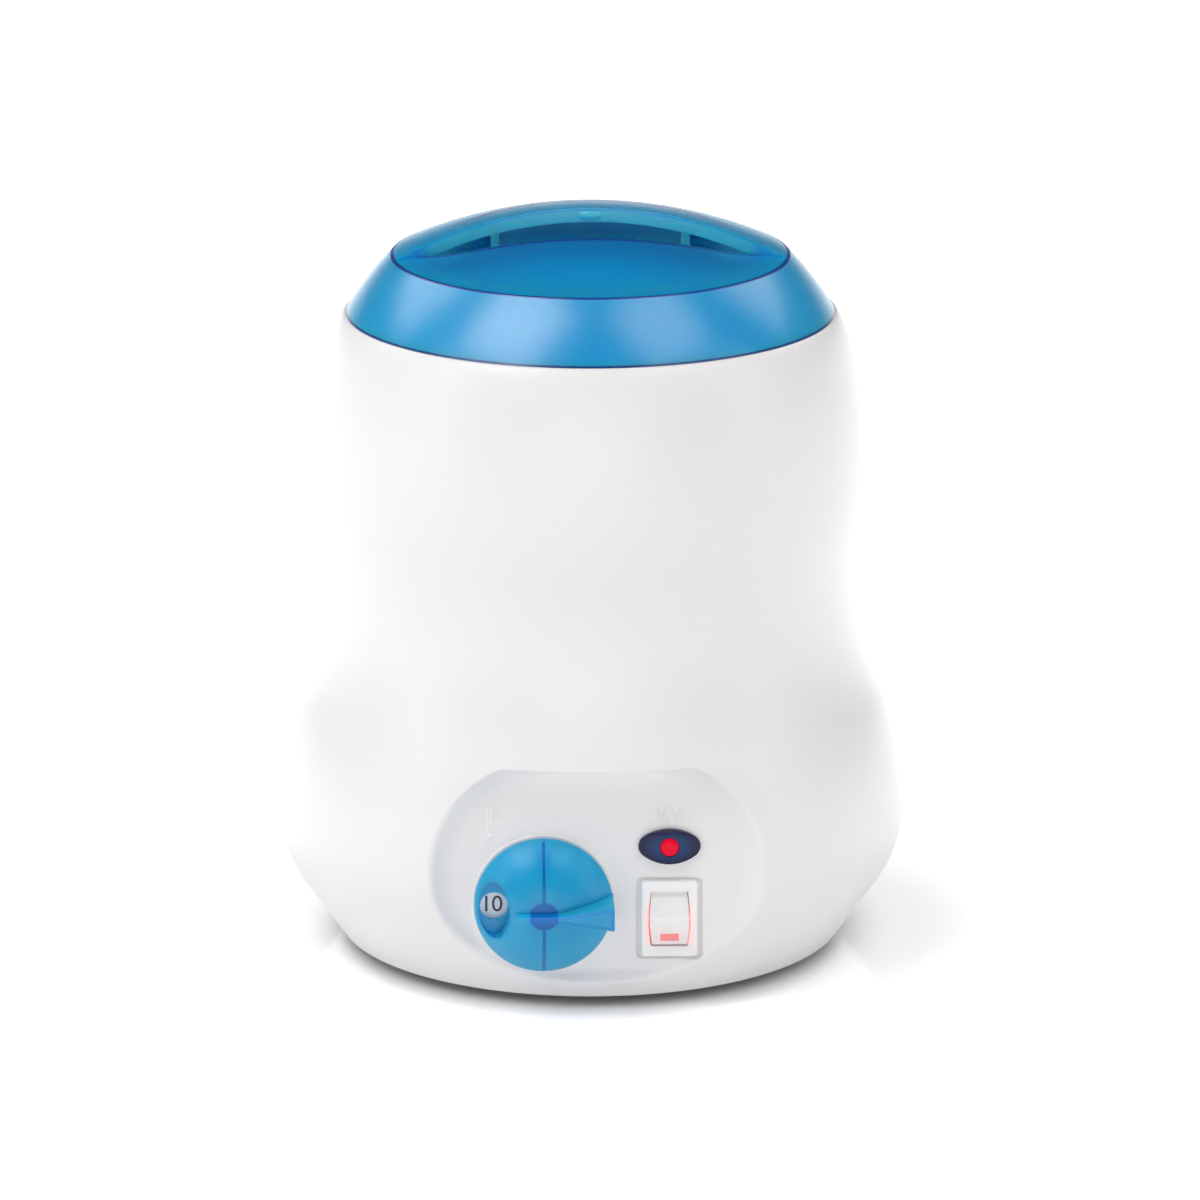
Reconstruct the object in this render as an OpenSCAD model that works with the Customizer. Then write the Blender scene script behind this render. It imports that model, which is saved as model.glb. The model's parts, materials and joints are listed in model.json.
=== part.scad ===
// Wax warmer: a waisted plastic casing round a heated aluminium pot, with a lift-off hooded lid,
// a thermostat dial, a rocker switch and an indicator lamp in a recessed front panel.
// Millimetres. The origin is at the middle of the footprint, on the surface that the feet stand on.
// +Z is up and the front panel faces -Y.

/* [Casing] */
// Largest radius, at the lower bulge
bulge_r = 86.1; // [84:0.1:88]
// Height of the lower bulge
bulge_z = 38.5; // [37:0.5:40]
// Radius at the waist
waist_r = 71.85; // [71:0.05:73]
// Height of the waist
waist_z = 101.5; // [99:0.5:104]
// Radius at the upper bulge
chest_r = 74.55; // [74:0.05:76]
// Height of the upper bulge
chest_z = 134.5; // [132:0.5:137]
// Height of the ledge that the lid rests on
shoulder_z = 174.9; // [174:0.1:176]
// Height of the casing's lower edge over the table
casing_bottom = 3; // [2.5:0.5:3]
// Thickness of the casing wall
wall = 2.5; // [2:0.1:2.6]

/* [Front panel] */
// Distance of the flat panel from the middle axis
panel_y = 70; // [69:0.5:71]
// Height of the middle of the panel
panel_z = 38; // [37:0.5:39]
// Distance between the centres of the panel's two round ends
panel_span = 24.6; // [20:0.2:28]
// Radius of the round ends on the casing's surface
panel_r = 32.8; // [31:0.1:33]
// Height of the straight ledge over the panel
panel_top = 68.3; // [67:0.1:69]
// Height of the panel's lower edge
panel_bottom = 9.6; // [9:0.1:10]

/* [Dial] */
// Sideways place of the dial's axis
dial_x = -14.3; // [-15:0.1:-14]
// Height of the dial's axis
dial_z = 30; // [29.5:0.1:30.5]
// Radius of the dial's rim
dial_r = 18.4; // [18:0.1:18.6]
// Gap between the panel and the dial's rim
dial_gap = 2.2; // [2:0.1:3]
// Height of the dome over its rim
dial_dome = 10; // [9:0.5:10.5]
// Height of the grip's crest over the panel
grip_top = 16.2; // [15.5:0.1:16.2]

/* [Switch] */
// Sideways place of the switch and of the lamp above it
switch_x = 19.2; // [18.5:0.1:20]
// Height of the switch
switch_z = 25.3; // [25:0.1:26]
// Width of the switch's bezel
bezel_w = 15; // [14.6:0.1:15.4]
// Height of the switch's bezel
bezel_h = 21; // [20.6:0.1:21.4]
// Tilt of the rocker on each side of its middle, in degrees
rocker_tilt = 11; // [9:0.5:11]

/* [Lamp] */
// Height of the lamp
lamp_z = 45.5; // [45:0.1:46]
// Width of the oval lens
lens_w = 16.5; // [16:0.1:17]
// Height of the oval lens
lens_h = 9.5; // [9:0.1:10]
// Radius of the red jewel
jewel_r = 2.6; // [2.4:0.1:2.8]

/* [Lid] */
// Radius of the lid's lower rim
lid_r = 66; // [65.5:0.1:66.2]
// Radius of the edge round the lid's top
plateau_r = 53.8; // [53:0.1:54]
// Height of the edge round the lid's top
plateau_z = 190.7; // [190:0.1:191]
// Highest point of the hood
hood_z = 202.4; // [201:0.1:203]
// Thickness of the lid's wall
lid_wall = 2.2; // [2:0.1:2.4]
// Distance of the front lip from the middle axis
lip_y = 14; // [13:0.5:15]

/* [Pot] */
// Inner radius of the pot, which takes the wax can
pot_r = 52.5; // [52:0.1:52.8]
// Height of the pot's floor
pot_floor = 60; // [60:0.5:62]
// Thickness of the pot's sheet
pot_wall = 1.2; // [1:0.1:1.4]

/* [Base] */
// Radius of the base plate
plate_r = 65.3; // [64:0.1:65.4]
// Radius of each foot
foot_r = 8; // [7:0.5:9]
// Distance of each foot from the middle axis
foot_reach = 52; // [50:1:54]

/* [Hidden] */

$fn = 96;
eps = 0.01;
shell_white = "#f4f4f6";
lid_blue = [0.1, 0.55, 0.85, 0.75];
steel_grey = "#b9bcc0";
brass_gold = "#c9a227";

// Casing profile: arcs that meet tangent to each other.
foot_slope = 35;
belly_r = 34.5;
foot_drop = bulge_z - belly_r * sin(foot_slope) + 12;
flank_rise = waist_z - bulge_z;
flank_drop = bulge_r - waist_r;
flank_angle = 2 * atan(flank_drop / flank_rise);
flank_r = flank_rise / sin(flank_angle) / 2;
chest_rise = chest_z - waist_z;
chest_angle = 2 * atan((chest_r - waist_r) / chest_rise);
chest_arc_r = chest_rise / sin(chest_angle) / 2;
crown_r = 118;
crown_angle = 16;
brow_r = 35.7;
brow_angle = 32;
brow_x = chest_r - crown_r + (crown_r - brow_r) * cos(crown_angle);
brow_z = chest_z + (crown_r - brow_r) * sin(crown_angle);

// Collar inside the lid, which the pot's flange lies on.
collar_foot_r = 63;
collar_top_r = 61.4;
collar_top_z = shoulder_z + wall;
collar_inner_r = 60;
collar_hole_r = 56.5;
gasket_t = 0.8;
flange_z = collar_top_z + gasket_t;
flange_r = 60;

// Panel recess: the round ends slope in from the casing's surface to the flat floor.
panel_slope = 4.2;
panel_floor_r = panel_r - 4.8;
recess_reach = 30;
panel_back = panel_y - wall;

// Dial, along its own axis: height over the panel.
disc_t = 1;
disc_r = dial_r + 0.5;
dial_wall = 1.6;
dial_edge = 0.8;
dome_r = (dial_r * dial_r + dial_dome * dial_dome) / (2 * dial_dome);
dome_mid = dial_gap + dial_edge + dial_dome - dome_r;
shaft_r = 3;
shaft_fit = 0.04;
shaft_end = 9;
shaft_flat = 0.8;
hub_r = 3.9;
rib_t = 1.2;
window_reach = 13.2;
window_r = 3.75;
hub_low = disc_t + 0.6;
rib_low = dial_gap + 0.6;
rib_end = dial_r - 0.6;
cup_half = [5, 8.6];
cup_side_r = 13;
opening_half = [4.2, 7.8];
opening_side_r = 12;
grip_wall = 1.3;
bush_r = 4.8;

// Thermostat behind the dial.
stat_w = 28;
stat_depth = 21.5;
stat_screw_reach = 11;
sink_low_r = 1.7;
sink_top_r = 3.5;
sink_h = 1.8;
stat_back = panel_back - stat_depth;

// Switch, along its own axis: height over the panel.
pocket_depth = 1;
pocket_play = [2.4, 1.6];
bezel_front = 1.4;
bezel_step = 0.4;
cutout_w = 13;
cutout_h = 19;
switch_depth = 17;
pivot_depth = -0.5;
rocker_end_r = 7.25;
rocker_half_w = 5.2;
rocker_barrel = 49;
ridge_h = 3.6;
rocker_fall = 12;
rocker_gap = 0.25;
pin_r = 1.2;

// Lamp.
lamp_stem_r = 4;
holder_r = 5.5;
holder_len = 16;

// Lid.
lid_bow = 83;
lid_slope = atan((lid_r - plateau_r) / (plateau_z - shoulder_z));
lid_half = asin(norm([lid_r - plateau_r, plateau_z - shoulder_z]) / 2 / lid_bow);
lid_mid = [(lid_r + plateau_r) / 2, (shoulder_z + plateau_z) / 2]
    - lid_bow * cos(lid_half) * [cos(lid_slope), sin(lid_slope)];
hood_r = (plateau_r * plateau_r + pow(hood_z - plateau_z, 2)) / (2 * (hood_z - plateau_z));
front_rise = 8.2;
front_r = 113;
front_turn = 34;
front_tip_z = plateau_z + front_rise;
front_turn_a = asin(front_turn / front_r);
front_edge = 50;
hollow_r = (front_edge - front_turn) / sin(front_turn_a);
front_turn_z = front_tip_z - front_r * (1 - cos(front_turn_a));
hollow_low = front_turn_z - hollow_r * (1 - cos(front_turn_a));
lip_r = 130;
brim_y = 3;
brim_r = 125;
pocket_back = 16;
pocket_back_r = 61.2;
pocket_floor = 188;
grip_rib_x = 25.7;
grip_rib_t = 2.3;
skirt_rib_t = 1.2;
skirt_rib_z = [182, 190];
gate_r = 1.7;

// Heater round the pot, its clamps and the sleeve round them, all open at the back for the wires.
heater_r = pot_r + pot_wall;
heater_t = 2;
heater_low = 70;
heater_high = 125;
heater_gap = 6;
clamp_t = 0.6;
clamp_w = 8;
bolt_r = 1.6;
bolt_out = 5;
ear_out = 8;
ear_t = 1;
sleeve_r = 62;
sleeve_h = 113;
sleeve_gap = 18;

// Stack under the pot.
shield_z = 51;
shield_t = 0.8;
shield_r = 62.5;
pot_bottom = pot_floor - pot_wall;
rod_r = 3;
nut_flats = 10;
nut_h = 5;
plate_t = 3;
plate_top = casing_bottom + plate_t;
plate_hub_r = 11;
plate_ring_r = 34;
plate_rib_h = 4;
hub_top = 13;
hub_web = 3;
bulb_r = 3;
bulb_y = -18;
bulb_half = 30;
clip_places = [-18, 18];
clip_t = 0.6;
clip_w = 8;
clip_reach = 9;
cutout_place = [24, 14];
cutout_r = 8;
cutout_bottom = 48;
cutout_resin = 8;
cutout_tab_low = 44;
earth_place = [-22, 20];
earth_screw_r = 1.5;

// Fixings of the base.
boss_places = [[53.5, 19.5], [-53.5, 19.5], [53.5, -19.5], [-53.5, -19.5]];
boss_r = 4;
boss_top = 26;
screw_r = 1.5;
screw_head_r = 3;
screw_head_h = 1.4;
screw_seat = 1.5;
foot_stem_r = 2.5;
foot_angles = [45, 135, 225, 315];
outer_vents = [-16, 0, 16, 164, 180, 196, 254, 270, 286];

// Cord inlet in the back wall.
gland_z = 24.5;
gland_y = 78;
gland_flange_r = 7.5;
gland_body_r = 5.5;
gland_bore_r = 3.4;
gland_len = 9;
gland_pad = 3;
gland_play = 0.8;

// Terminal block on the base plate.
block_w = 36;
block_y = 38;
block_d = 14;
block_h = 14;

// Wire routes, from one terminal to the next.
wire_r = 1;
lead_r = 0.7;
capillary_r = 0.8;
switch_tab_y = -46;
stat_tab_y = -38;
live_routes = [
    [[-12, 38, 13], [-12, 30, 13], [-4, 20, 18], [9, 8, 22], [13, -12, 26], [14, -28, 29],
        [15.2, -38, 30.3], [15.2, -46, 30.3]],
    [[15.2, -46, 20.3], [15.2, -38, 20.3], [8, -31, 25], [-1, -28, 32], [-7, -31, 36], [-7, -38, 36]],
    [[-22, -38, 36], [-22, -30, 36], [-10, -18, 38], [8, -12, 38], [19, -2, 35], [20, 10, 34], [20, 14, 38],
        [20, 14, 44]],
    [[28, 14, 44], [28, 14, 38], [27, 22, 35], [20, 42, 38], [9, 53, 46],
        [6.5, 54.8, 56], [6.5, 54.8, 70]]];
neutral_routes = [
    [[0, 38, 13], [0, 31, 13], [-8, 29, 20], [-15, 38, 34], [-9, 52, 44],
        [-6.5, 54.8, 56], [-6.5, 54.8, 70]]];
earth_route = [
    [12, 38, 13], [12, 31, 13], [10, 20, 18], [-6, 10, 30], [-20, 14, 36], [-22, 20, 42], [-22, 20, 49]];
lamp_routes = [
    [[17.7, -49.5, 45.5], [17.7, -44, 45.5], [22, -36, 40], [23.2, -37, 31], [23.2, -46, 30.3]],
    [[20.7, -49.5, 45.5], [20.7, -42, 45.5], [26, -20, 36], [23, 6, 20], [14, 17, 12.5],
        [6, 26, 12.5], [4, 31, 13], [4, 38, 13]]];
capillary_route = [
    [-14, -46, 22], [-14, -39, 22], [-24, -34, 24], [-34, -30, 34], [-42, -26, 44],
    [-46, -20, 52], [-40, -18, 55.8], [-30, -18, 55.8]];

// Points along an arc from angle a to angle b.
function arc(x, y, r, a, b, n) =
    [for (i = [0:n]) let (t = a + (b - a) * i / n) [x + r * cos(t), y + r * sin(t)]];

// Outer line of the casing, moved in by d, from the lower edge up to the shoulder.
function casing_line(d) = concat(
    [[bulge_r - belly_r + (belly_r - d) * cos(foot_slope) - foot_drop * tan(foot_slope),
      bulge_z - (belly_r - d) * sin(foot_slope) - foot_drop]],
    arc(bulge_r - belly_r, bulge_z, belly_r - d, -foot_slope, 0, 6),
    arc(bulge_r - flank_r, bulge_z, flank_r - d, 0, flank_angle, 6),
    arc(waist_r + flank_r, waist_z, flank_r + d, 180 + flank_angle, 180, 6),
    arc(waist_r + chest_arc_r, waist_z, chest_arc_r + d, 180, 180 - chest_angle, 3),
    arc(chest_r - chest_arc_r, chest_z, chest_arc_r - d, -chest_angle, 0, 3),
    arc(chest_r - crown_r, chest_z, crown_r - d, 0, crown_angle, 4),
    arc(brow_x, brow_z, brow_r - d, crown_angle, brow_angle, 3));

// Places a shape on the front panel: its own z is the height over the panel.
module on_panel(x, z) {
    translate([x, -panel_y, z]) rotate([90, 0, 0]) children();
}

// Oval of four tangent arcs, with half width a and half height b, where a is less than b.
module oval(a, b, side_r) {
    c = (side_r * side_r - pow(side_r - a, 2) - 2 * side_r * b + b * b) / (2 * (b - side_r));
    end_r = b - c;
    turn = atan2(c, side_r - a);
    step = (180 - 2 * turn) / 10;
    polygon(concat(
        arc(a - side_r, 0, side_r, -turn, turn, 12),
        arc(0, c, end_r, turn + step, 180 - turn - step, 8),
        arc(side_r - a, 0, side_r, 180 - turn, 180 + turn, 12),
        arc(0, -c, end_r, 180 + turn + step, 360 - turn - step, 8)));
}

// Rectangle with round corners, built from true arcs.
module round_rect(w, h, r) {
    square([w - 2 * r, h], center = true);
    square([w, h - 2 * r], center = true);
    for (x = [-1, 1], y = [-1, 1]) translate([x * (w / 2 - r), y * (h / 2 - r)]) circle(r, $fn = 32);
}

// Slot with round ends along x.
module slot(length, width) {
    square([length - width, width], center = true);
    for (s = [-1, 1]) translate([s * (length - width) / 2, 0]) circle(width / 2, $fn = 24);
}

// Hexagonal prism with the given width over its flats.
module hexagon(flats, h) {
    cylinder(r = flats / 2 / cos(30), h = h, $fn = 6);
}

// Round tube with 8 sides swept along a route, smoothed between the points.
function along(p, i) = p[max(0, min(len(p) - 1, i))];
function spline(a, b, c, d, t) =
    0.5 * (2 * b + (c - a) * t + (2 * a - 5 * b + 4 * c - d) * t * t + (3 * b - a - 3 * c + d) * t * t * t);
function smooth(p, n) = concat(
    [for (i = [0:len(p) - 2], j = [0:n - 1])
        spline(along(p, i - 1), p[i], p[i + 1], along(p, i + 2), j / n)],
    [p[len(p) - 1]]);
function heading(p, i) = along(p, i + 1) - along(p, i - 1);
function ring(at, dir, r, sides) =
    let (t = dir / norm(dir), u = cross(t, [0.31, 0.83, 0.46]), v = u / norm(u), w = cross(t, v))
    [for (k = [0:sides - 1]) at + r * (cos(360 * k / sides) * v + sin(360 * k / sides) * w)];
module tube(route, r) {
    sides = 8;
    p = smooth(route, 3);
    last = len(p) - 1;
    ends = [route[1] - route[0], route[len(route) - 1] - route[len(route) - 2]];
    rings = [for (i = [0:last])
        each ring(p[i], i == 0 ? ends[0] : i == last ? ends[1] : heading(p, i), r, sides)];
    polyhedron(rings, concat(
        [[for (k = [0:sides - 1]) k]],
        [for (i = [0:last - 1], k = [0:sides - 1])
            let (a = i * sides + k, b = i * sides + (k + 1) % sides)
                each [[a, a + sides, b + sides], [a, b + sides, b]]],
        [[for (k = [sides - 1:-1:0]) last * sides + k]]));
}

// Panel recess, grown by g: g = 0 cuts the outside and g = wall keeps the wall behind it.
module recess(g) {
    intersection() {
        union() {
            for (s = [-1, 1]) translate([s * panel_span / 2, -panel_y + g, panel_z]) rotate([90, 0, 0])
                rotate_extrude() polygon([
                    [0, 0], [panel_floor_r + g * 0.7, 0], [panel_r + g * 0.7, panel_slope],
                    [panel_r + g * 0.7, recess_reach], [0, recess_reach]]);
            translate([-panel_span / 2, -panel_y - recess_reach, panel_z - panel_r - g])
                cube([panel_span, recess_reach + g, 2 * (panel_r + g)]);
        }
        rotate([90, 0, 90]) translate([0, 0, -bulge_r]) linear_extrude(2 * bulge_r)
            polygon([
                [-panel_y + g, panel_bottom - g], [-panel_y + g, panel_top + g],
                [-panel_y - recess_reach, panel_top + g], [-panel_y - recess_reach, -g],
                [-panel_y - 4, panel_bottom - 2.4 - g]]);
    }
}

module casing_outside() {
    rotate_extrude() difference() {
        polygon(concat([[0, 0]], casing_line(0), [
            [brow_x + brow_r * cos(brow_angle), shoulder_z + 10], [0, shoulder_z + 10]]));
        translate([-1, -20]) square([120, 20 + casing_bottom]);
        polygon([[0, collar_top_z], [collar_top_r, collar_top_z], [collar_foot_r, shoulder_z],
            [120, shoulder_z], [120, shoulder_z + 20], [0, shoulder_z + 20]]);
    }
}

module casing_inside() {
    rotate_extrude() difference() {
        polygon(concat([[0, -20]], casing_line(wall), [[0, shoulder_z + 10]]));
        polygon([
            [0, shoulder_z], [collar_inner_r - wall / 2, shoulder_z], [collar_inner_r, shoulder_z - wall],
            [120, shoulder_z - wall], [120, shoulder_z + 20], [0, shoulder_z + 20]]);
    }
}

// Everything inside the middle of the wall, where inner ribs and pads end.
module within_wall() {
    rotate_extrude() polygon(concat([[0, 0]], casing_line(wall / 2), [[0, shoulder_z]]));
}

module casing() {
    color(shell_white)
    difference() {
        union() {
            difference() {
                casing_outside();
                recess(0);
                difference() {
                    casing_inside();
                    recess(wall);
                }
            }
            // Bosses for the base screws, each tied to the wall by a rib.
            intersection() {
                union() for (p = boss_places) {
                    translate([p[0], p[1], plate_top]) cylinder(r = boss_r, h = boss_top - plate_top);
                    rotate([0, 0, atan2(p[1], p[0])]) translate([norm(p), -1, plate_top])
                        cube([30, 2, boss_top - plate_top - 2]);
                }
                within_wall();
            }
            // Flat pad behind the cord inlet.
            intersection() {
                translate([0, gland_y - gland_pad, gland_z]) rotate([-90, 0, 0])
                    cylinder(r = gland_flange_r + gland_pad, h = 20);
                within_wall();
            }
        }
        for (p = boss_places) translate([p[0], p[1], plate_top - eps])
            cylinder(r = screw_r, h = 16, $fn = 32);
        translate([0, 0, shoulder_z - eps]) cylinder(r = collar_hole_r, h = 10);
        // Cord inlet.
        translate([0, gland_y, gland_z]) rotate([-90, 0, 0]) cylinder(r = gland_flange_r + gland_play, h = 20);
        translate([0, gland_y - 10, gland_z]) rotate([-90, 0, 0]) cylinder(r = gland_body_r, h = 20);
        // Thermostat bush and its two screws.
        on_panel(dial_x, dial_z) {
            translate([0, 0, -wall - 1]) cylinder(r = bush_r, h = wall + 2);
            for (s = [-1, 1]) translate([0, s * stat_screw_reach, 0]) {
                translate([0, 0, -wall - 1]) cylinder(r = sink_low_r + 0.1, h = wall + 2, $fn = 32);
                translate([0, 0, -sink_h])
                    cylinder(r1 = sink_low_r + 0.1, r2 = sink_top_r + 0.1, h = sink_h, $fn = 32);
            }
        }
        // Switch pocket and cutout.
        on_panel(switch_x, switch_z) {
            translate([0, 0, -pocket_depth]) linear_extrude(3)
                round_rect(bezel_w + pocket_play[0], bezel_h + pocket_play[1], 1.6);
            translate([0, 0, -wall - 1]) linear_extrude(wall + 1)
                square([cutout_w, cutout_h], center = true);
        }
        on_panel(switch_x, lamp_z) translate([0, 0, -wall - 1]) cylinder(r = lamp_stem_r, h = wall + 2);
    }
}

module base_plate() {
    color("#3a3a3e")
    difference() {
        union() {
            translate([0, 0, casing_bottom]) cylinder(r = plate_r, h = plate_t);
            translate([0, 0, casing_bottom]) cylinder(r = plate_hub_r, h = hub_top - casing_bottom);
            translate([0, 0, plate_top - eps]) difference() {
                cylinder(r = plate_ring_r, h = plate_rib_h);
                translate([0, 0, -1]) cylinder(r = plate_ring_r - 2, h = plate_rib_h + 2);
            }
            for (a = [0:30:330]) rotate([0, 0, a]) translate([plate_hub_r - 0.5, -0.8, plate_top - eps])
                cube([plate_ring_r - plate_hub_r - 0.5, 1.6, plate_rib_h]);
        }
        translate([0, 0, casing_bottom - 1])
            cylinder(r = plate_hub_r - hub_web, h = hub_top - hub_web - casing_bottom + 1);
        translate([0, 0, casing_bottom - 1]) cylinder(r = rod_r + 0.3, h = 20);
        for (a = [15:30:345]) rotate([0, 0, a]) translate([22, 0, casing_bottom - 1])
            linear_extrude(plate_t + 2) slot(14, 3);
        for (a = outer_vents) rotate([0, 0, a]) translate([44, 0, casing_bottom - 1])
            linear_extrude(plate_t + 2) slot(12, 3);
        for (a = foot_angles) rotate([0, 0, a]) translate([foot_reach, 0, casing_bottom - 1]) {
            cylinder(r = foot_r, h = 2);
            cylinder(r = foot_stem_r, h = 10);
        }
        for (p = boss_places) translate([p[0], p[1], casing_bottom - 1]) {
            cylinder(r = screw_r + 0.2, h = 10, $fn = 32);
            cylinder(r = screw_head_r + 0.4, h = screw_seat + 1, $fn = 48);
        }
    }
}

module rubber_feet() {
    color("#26262a")
    for (a = foot_angles) rotate([0, 0, a]) translate([foot_reach, 0, 0]) {
        cylinder(r1 = foot_r - 0.8, r2 = foot_r, h = 0.8);
        translate([0, 0, 0.8]) cylinder(r = foot_r, h = casing_bottom + 0.2);
        cylinder(r = foot_stem_r, h = plate_top + 0.5);
        translate([0, 0, plate_top]) cylinder(r1 = 3.2, r2 = 2, h = 2.4);
    }
}

module base_screws() {
    color(steel_grey)
    for (p = boss_places) translate([p[0], p[1], casing_bottom + screw_seat]) {
        difference() {
            translate([0, 0, -screw_head_h]) cylinder(r = screw_head_r, h = screw_head_h);
            for (a = [0, 90]) rotate([0, 0, a]) translate([-1.8, -0.4, -1.5]) cube([3.6, 0.8, 0.9]);
        }
        cylinder(r = screw_r, h = 12, $fn = 32);
    }
}

module cord_gland() {
    color("#f0f0f2")
    translate([0, gland_y, gland_z]) rotate([-90, 0, 0]) difference() {
        union() {
            cylinder(r = gland_flange_r, h = 1.6);
            translate([0, 0, 1.6]) cylinder(r1 = gland_flange_r - 1, r2 = gland_body_r - 0.3, h = 1.6);
            translate([0, 0, -gland_len]) cylinder(r = gland_body_r, h = gland_len + eps);
        }
        translate([0, 0, -gland_len - 1]) cylinder(r = gland_bore_r, h = gland_len + 6);
    }
}

module heating_pot() {
    color("#c8cacd")
    rotate_extrude() {
        corner = 6;
        lip = 2;
        polygon(concat(
            [[0, pot_bottom]],
            arc(pot_r - corner, pot_floor + corner, corner + pot_wall, -90, 0, 6),
            arc(pot_r + lip, flange_z - (lip - pot_wall), lip - pot_wall, 180, 90, 4),
            [[flange_r, flange_z], [flange_r, flange_z + pot_wall]],
            arc(pot_r + lip, flange_z - (lip - pot_wall), lip, 90, 180, 4),
            arc(pot_r - corner, pot_floor + corner, corner, 0, -90, 6),
            [[0, pot_floor]]));
    }
}

module pot_gasket() {
    color("#d9d6cf")
    translate([0, 0, collar_top_z]) difference() {
        cylinder(r = flange_r, h = gasket_t);
        translate([0, 0, -1]) cylinder(r = collar_hole_r, h = gasket_t + 2);
    }
}

module heater_band() {
    color("#c07a3a")
    difference() {
        translate([0, 0, heater_low]) cylinder(r = heater_r + heater_t, h = heater_high - heater_low);
        translate([0, 0, heater_low - 1]) cylinder(r = heater_r, h = heater_high - heater_low + 2);
        translate([-heater_gap / 2, 0, heater_low - 1])
            cube([heater_gap, 80, heater_high - heater_low + 2]);
    }
}

// One of the two clamps round the heater, with a bolt through its two ears.
module clamp_ring() {
    difference() {
        cylinder(r = heater_r + heater_t + clamp_t, h = clamp_w);
        translate([0, 0, -1]) cylinder(r = heater_r + heater_t, h = clamp_w + 2);
        translate([-heater_gap / 2, 0, -1]) cube([heater_gap, 80, clamp_w + 2]);
    }
    difference() {
        for (s = [-1, 1]) translate([s * (heater_gap + ear_t) / 2 - ear_t / 2, heater_r + heater_t, 0])
            cube([ear_t, ear_out, clamp_w]);
        clamp_bolt(-6, bolt_r, 12);
    }
    clamp_bolt(-6, bolt_r, 12);
    clamp_bolt(-7.8, 2 * bolt_r, 1.8);
    translate([4, heater_r + heater_t + bolt_out, clamp_w / 2]) rotate([0, 90, 0]) hexagon(5.5, 2.4);
}

module clamp_bolt(x, r, length) {
    translate([x, heater_r + heater_t + bolt_out, clamp_w / 2]) rotate([0, 90, 0])
        cylinder(r = r, h = length, $fn = 32);
}

module heater_clamp() {
    color(steel_grey)
    for (z = [heater_low + 10, heater_high - 10 - clamp_w]) translate([0, 0, z]) clamp_ring();
}

module insulation_sleeve() {
    color("#efe9d8")
    translate([0, 0, shield_z + shield_t]) difference() {
        cylinder(r = sleeve_r, h = sleeve_h);
        translate([0, 0, -1]) cylinder(r = heater_r + heater_t + clamp_t, h = sleeve_h + 2);
        translate([-sleeve_gap / 2, 0, -1]) cube([sleeve_gap, 80, sleeve_h + 2]);
    }
}

module heat_shield() {
    color(steel_grey)
    translate([0, 0, shield_z]) difference() {
        cylinder(r = shield_r, h = shield_t);
        translate([0, 0, -1]) cylinder(r = rod_r + 0.2, h = 3);
        translate([cutout_place[0], cutout_place[1], -1]) cylinder(r = cutout_r + 1, h = 3);
        translate([-sleeve_gap / 2, 48, -1]) cube([sleeve_gap, 20, 3]);
        translate([-50, bulb_y - 6, -1]) cube([9, 12, 3]);
        translate([earth_place[0], earth_place[1], -1]) cylinder(r = earth_screw_r, h = 3, $fn = 32);
    }
}

module pot_spacer() {
    color(steel_grey)
    translate([0, 0, shield_z + shield_t]) difference() {
        cylinder(r = 5.5, h = pot_bottom - shield_z - shield_t);
        translate([0, 0, -1]) cylinder(r = rod_r + 0.1, h = 12);
    }
}

module tie_rod() {
    color(steel_grey)
    translate([0, 0, 4.4]) cylinder(r = rod_r, h = pot_bottom - 4.4);
}

module tie_nuts() {
    color(steel_grey)
    for (z = [shield_z - nut_h, hub_top, hub_top - hub_web - nut_h]) translate([0, 0, z]) difference() {
        hexagon(nut_flats, nut_h);
        translate([0, 0, -1]) cylinder(r = rod_r, h = nut_h + 2);
    }
}

module sensor_bulb() {
    color("#b87333")
    translate([-bulb_half, bulb_y, pot_bottom - bulb_r]) rotate([0, 90, 0])
        cylinder(r = bulb_r, h = 2 * bulb_half);
}

module bulb_clips() {
    color(steel_grey)
    for (x = clip_places) translate([x - clip_w / 2, bulb_y, pot_bottom]) difference() {
        union() {
            translate([0, 0, -bulb_r]) rotate([0, 90, 0]) cylinder(r = bulb_r + clip_t, h = clip_w);
            translate([0, -clip_reach, -clip_t]) cube([clip_w, 2 * clip_reach, clip_t]);
        }
        translate([-1, 0, -bulb_r]) rotate([0, 90, 0]) cylinder(r = bulb_r, h = clip_w + 2);
        translate([-1, 0.4 - bulb_r, -bulb_r]) cube([clip_w + 2, 2 * bulb_r - 0.8, bulb_r + 1]);
        translate([-1, -clip_reach - 3, 0]) cube([clip_w + 2, 2 * clip_reach + 6, 6]);
    }
}

module capillary_tube() {
    color("#b87333")
    tube(capillary_route, capillary_r);
}

module thermal_cutout() {
    translate([cutout_place[0], cutout_place[1], 0]) {
        color("#e8dcc0") translate([0, 0, cutout_bottom]) cylinder(r = cutout_r - 0.6, h = cutout_resin);
        color(steel_grey) translate([0, 0, cutout_bottom + cutout_resin])
            cylinder(r = cutout_r, h = pot_bottom - cutout_bottom - cutout_resin);
        color(steel_grey) for (s = [-1, 1]) translate([4 * s - 0.4, -2.4, cutout_tab_low])
            cube([0.8, 4.8, cutout_bottom - cutout_tab_low]);
    }
}

module thermostat_body() {
    color("#d8d4c8")
    on_panel(dial_x, dial_z) difference() {
        union() {
            translate([0, 0, -wall - stat_depth]) linear_extrude(stat_depth) round_rect(stat_w, stat_w, 2);
            translate([0, 0, -wall]) cylinder(r = bush_r, h = wall + 0.8);
        }
        translate([0, 0, -wall - 14]) cylinder(r = shaft_r + shaft_fit, h = wall + 16);
        for (s = [-1, 1]) translate([0, s * stat_screw_reach, -wall - 6])
            cylinder(r = screw_r, h = 8, $fn = 32);
    }
}

module thermostat_terminals() {
    color(brass_gold)
    for (x = [-22, -7]) translate([x - 3.15, -stat_back, 35.6]) cube([6.3, stat_back + stat_tab_y, 0.8]);
}

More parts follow.
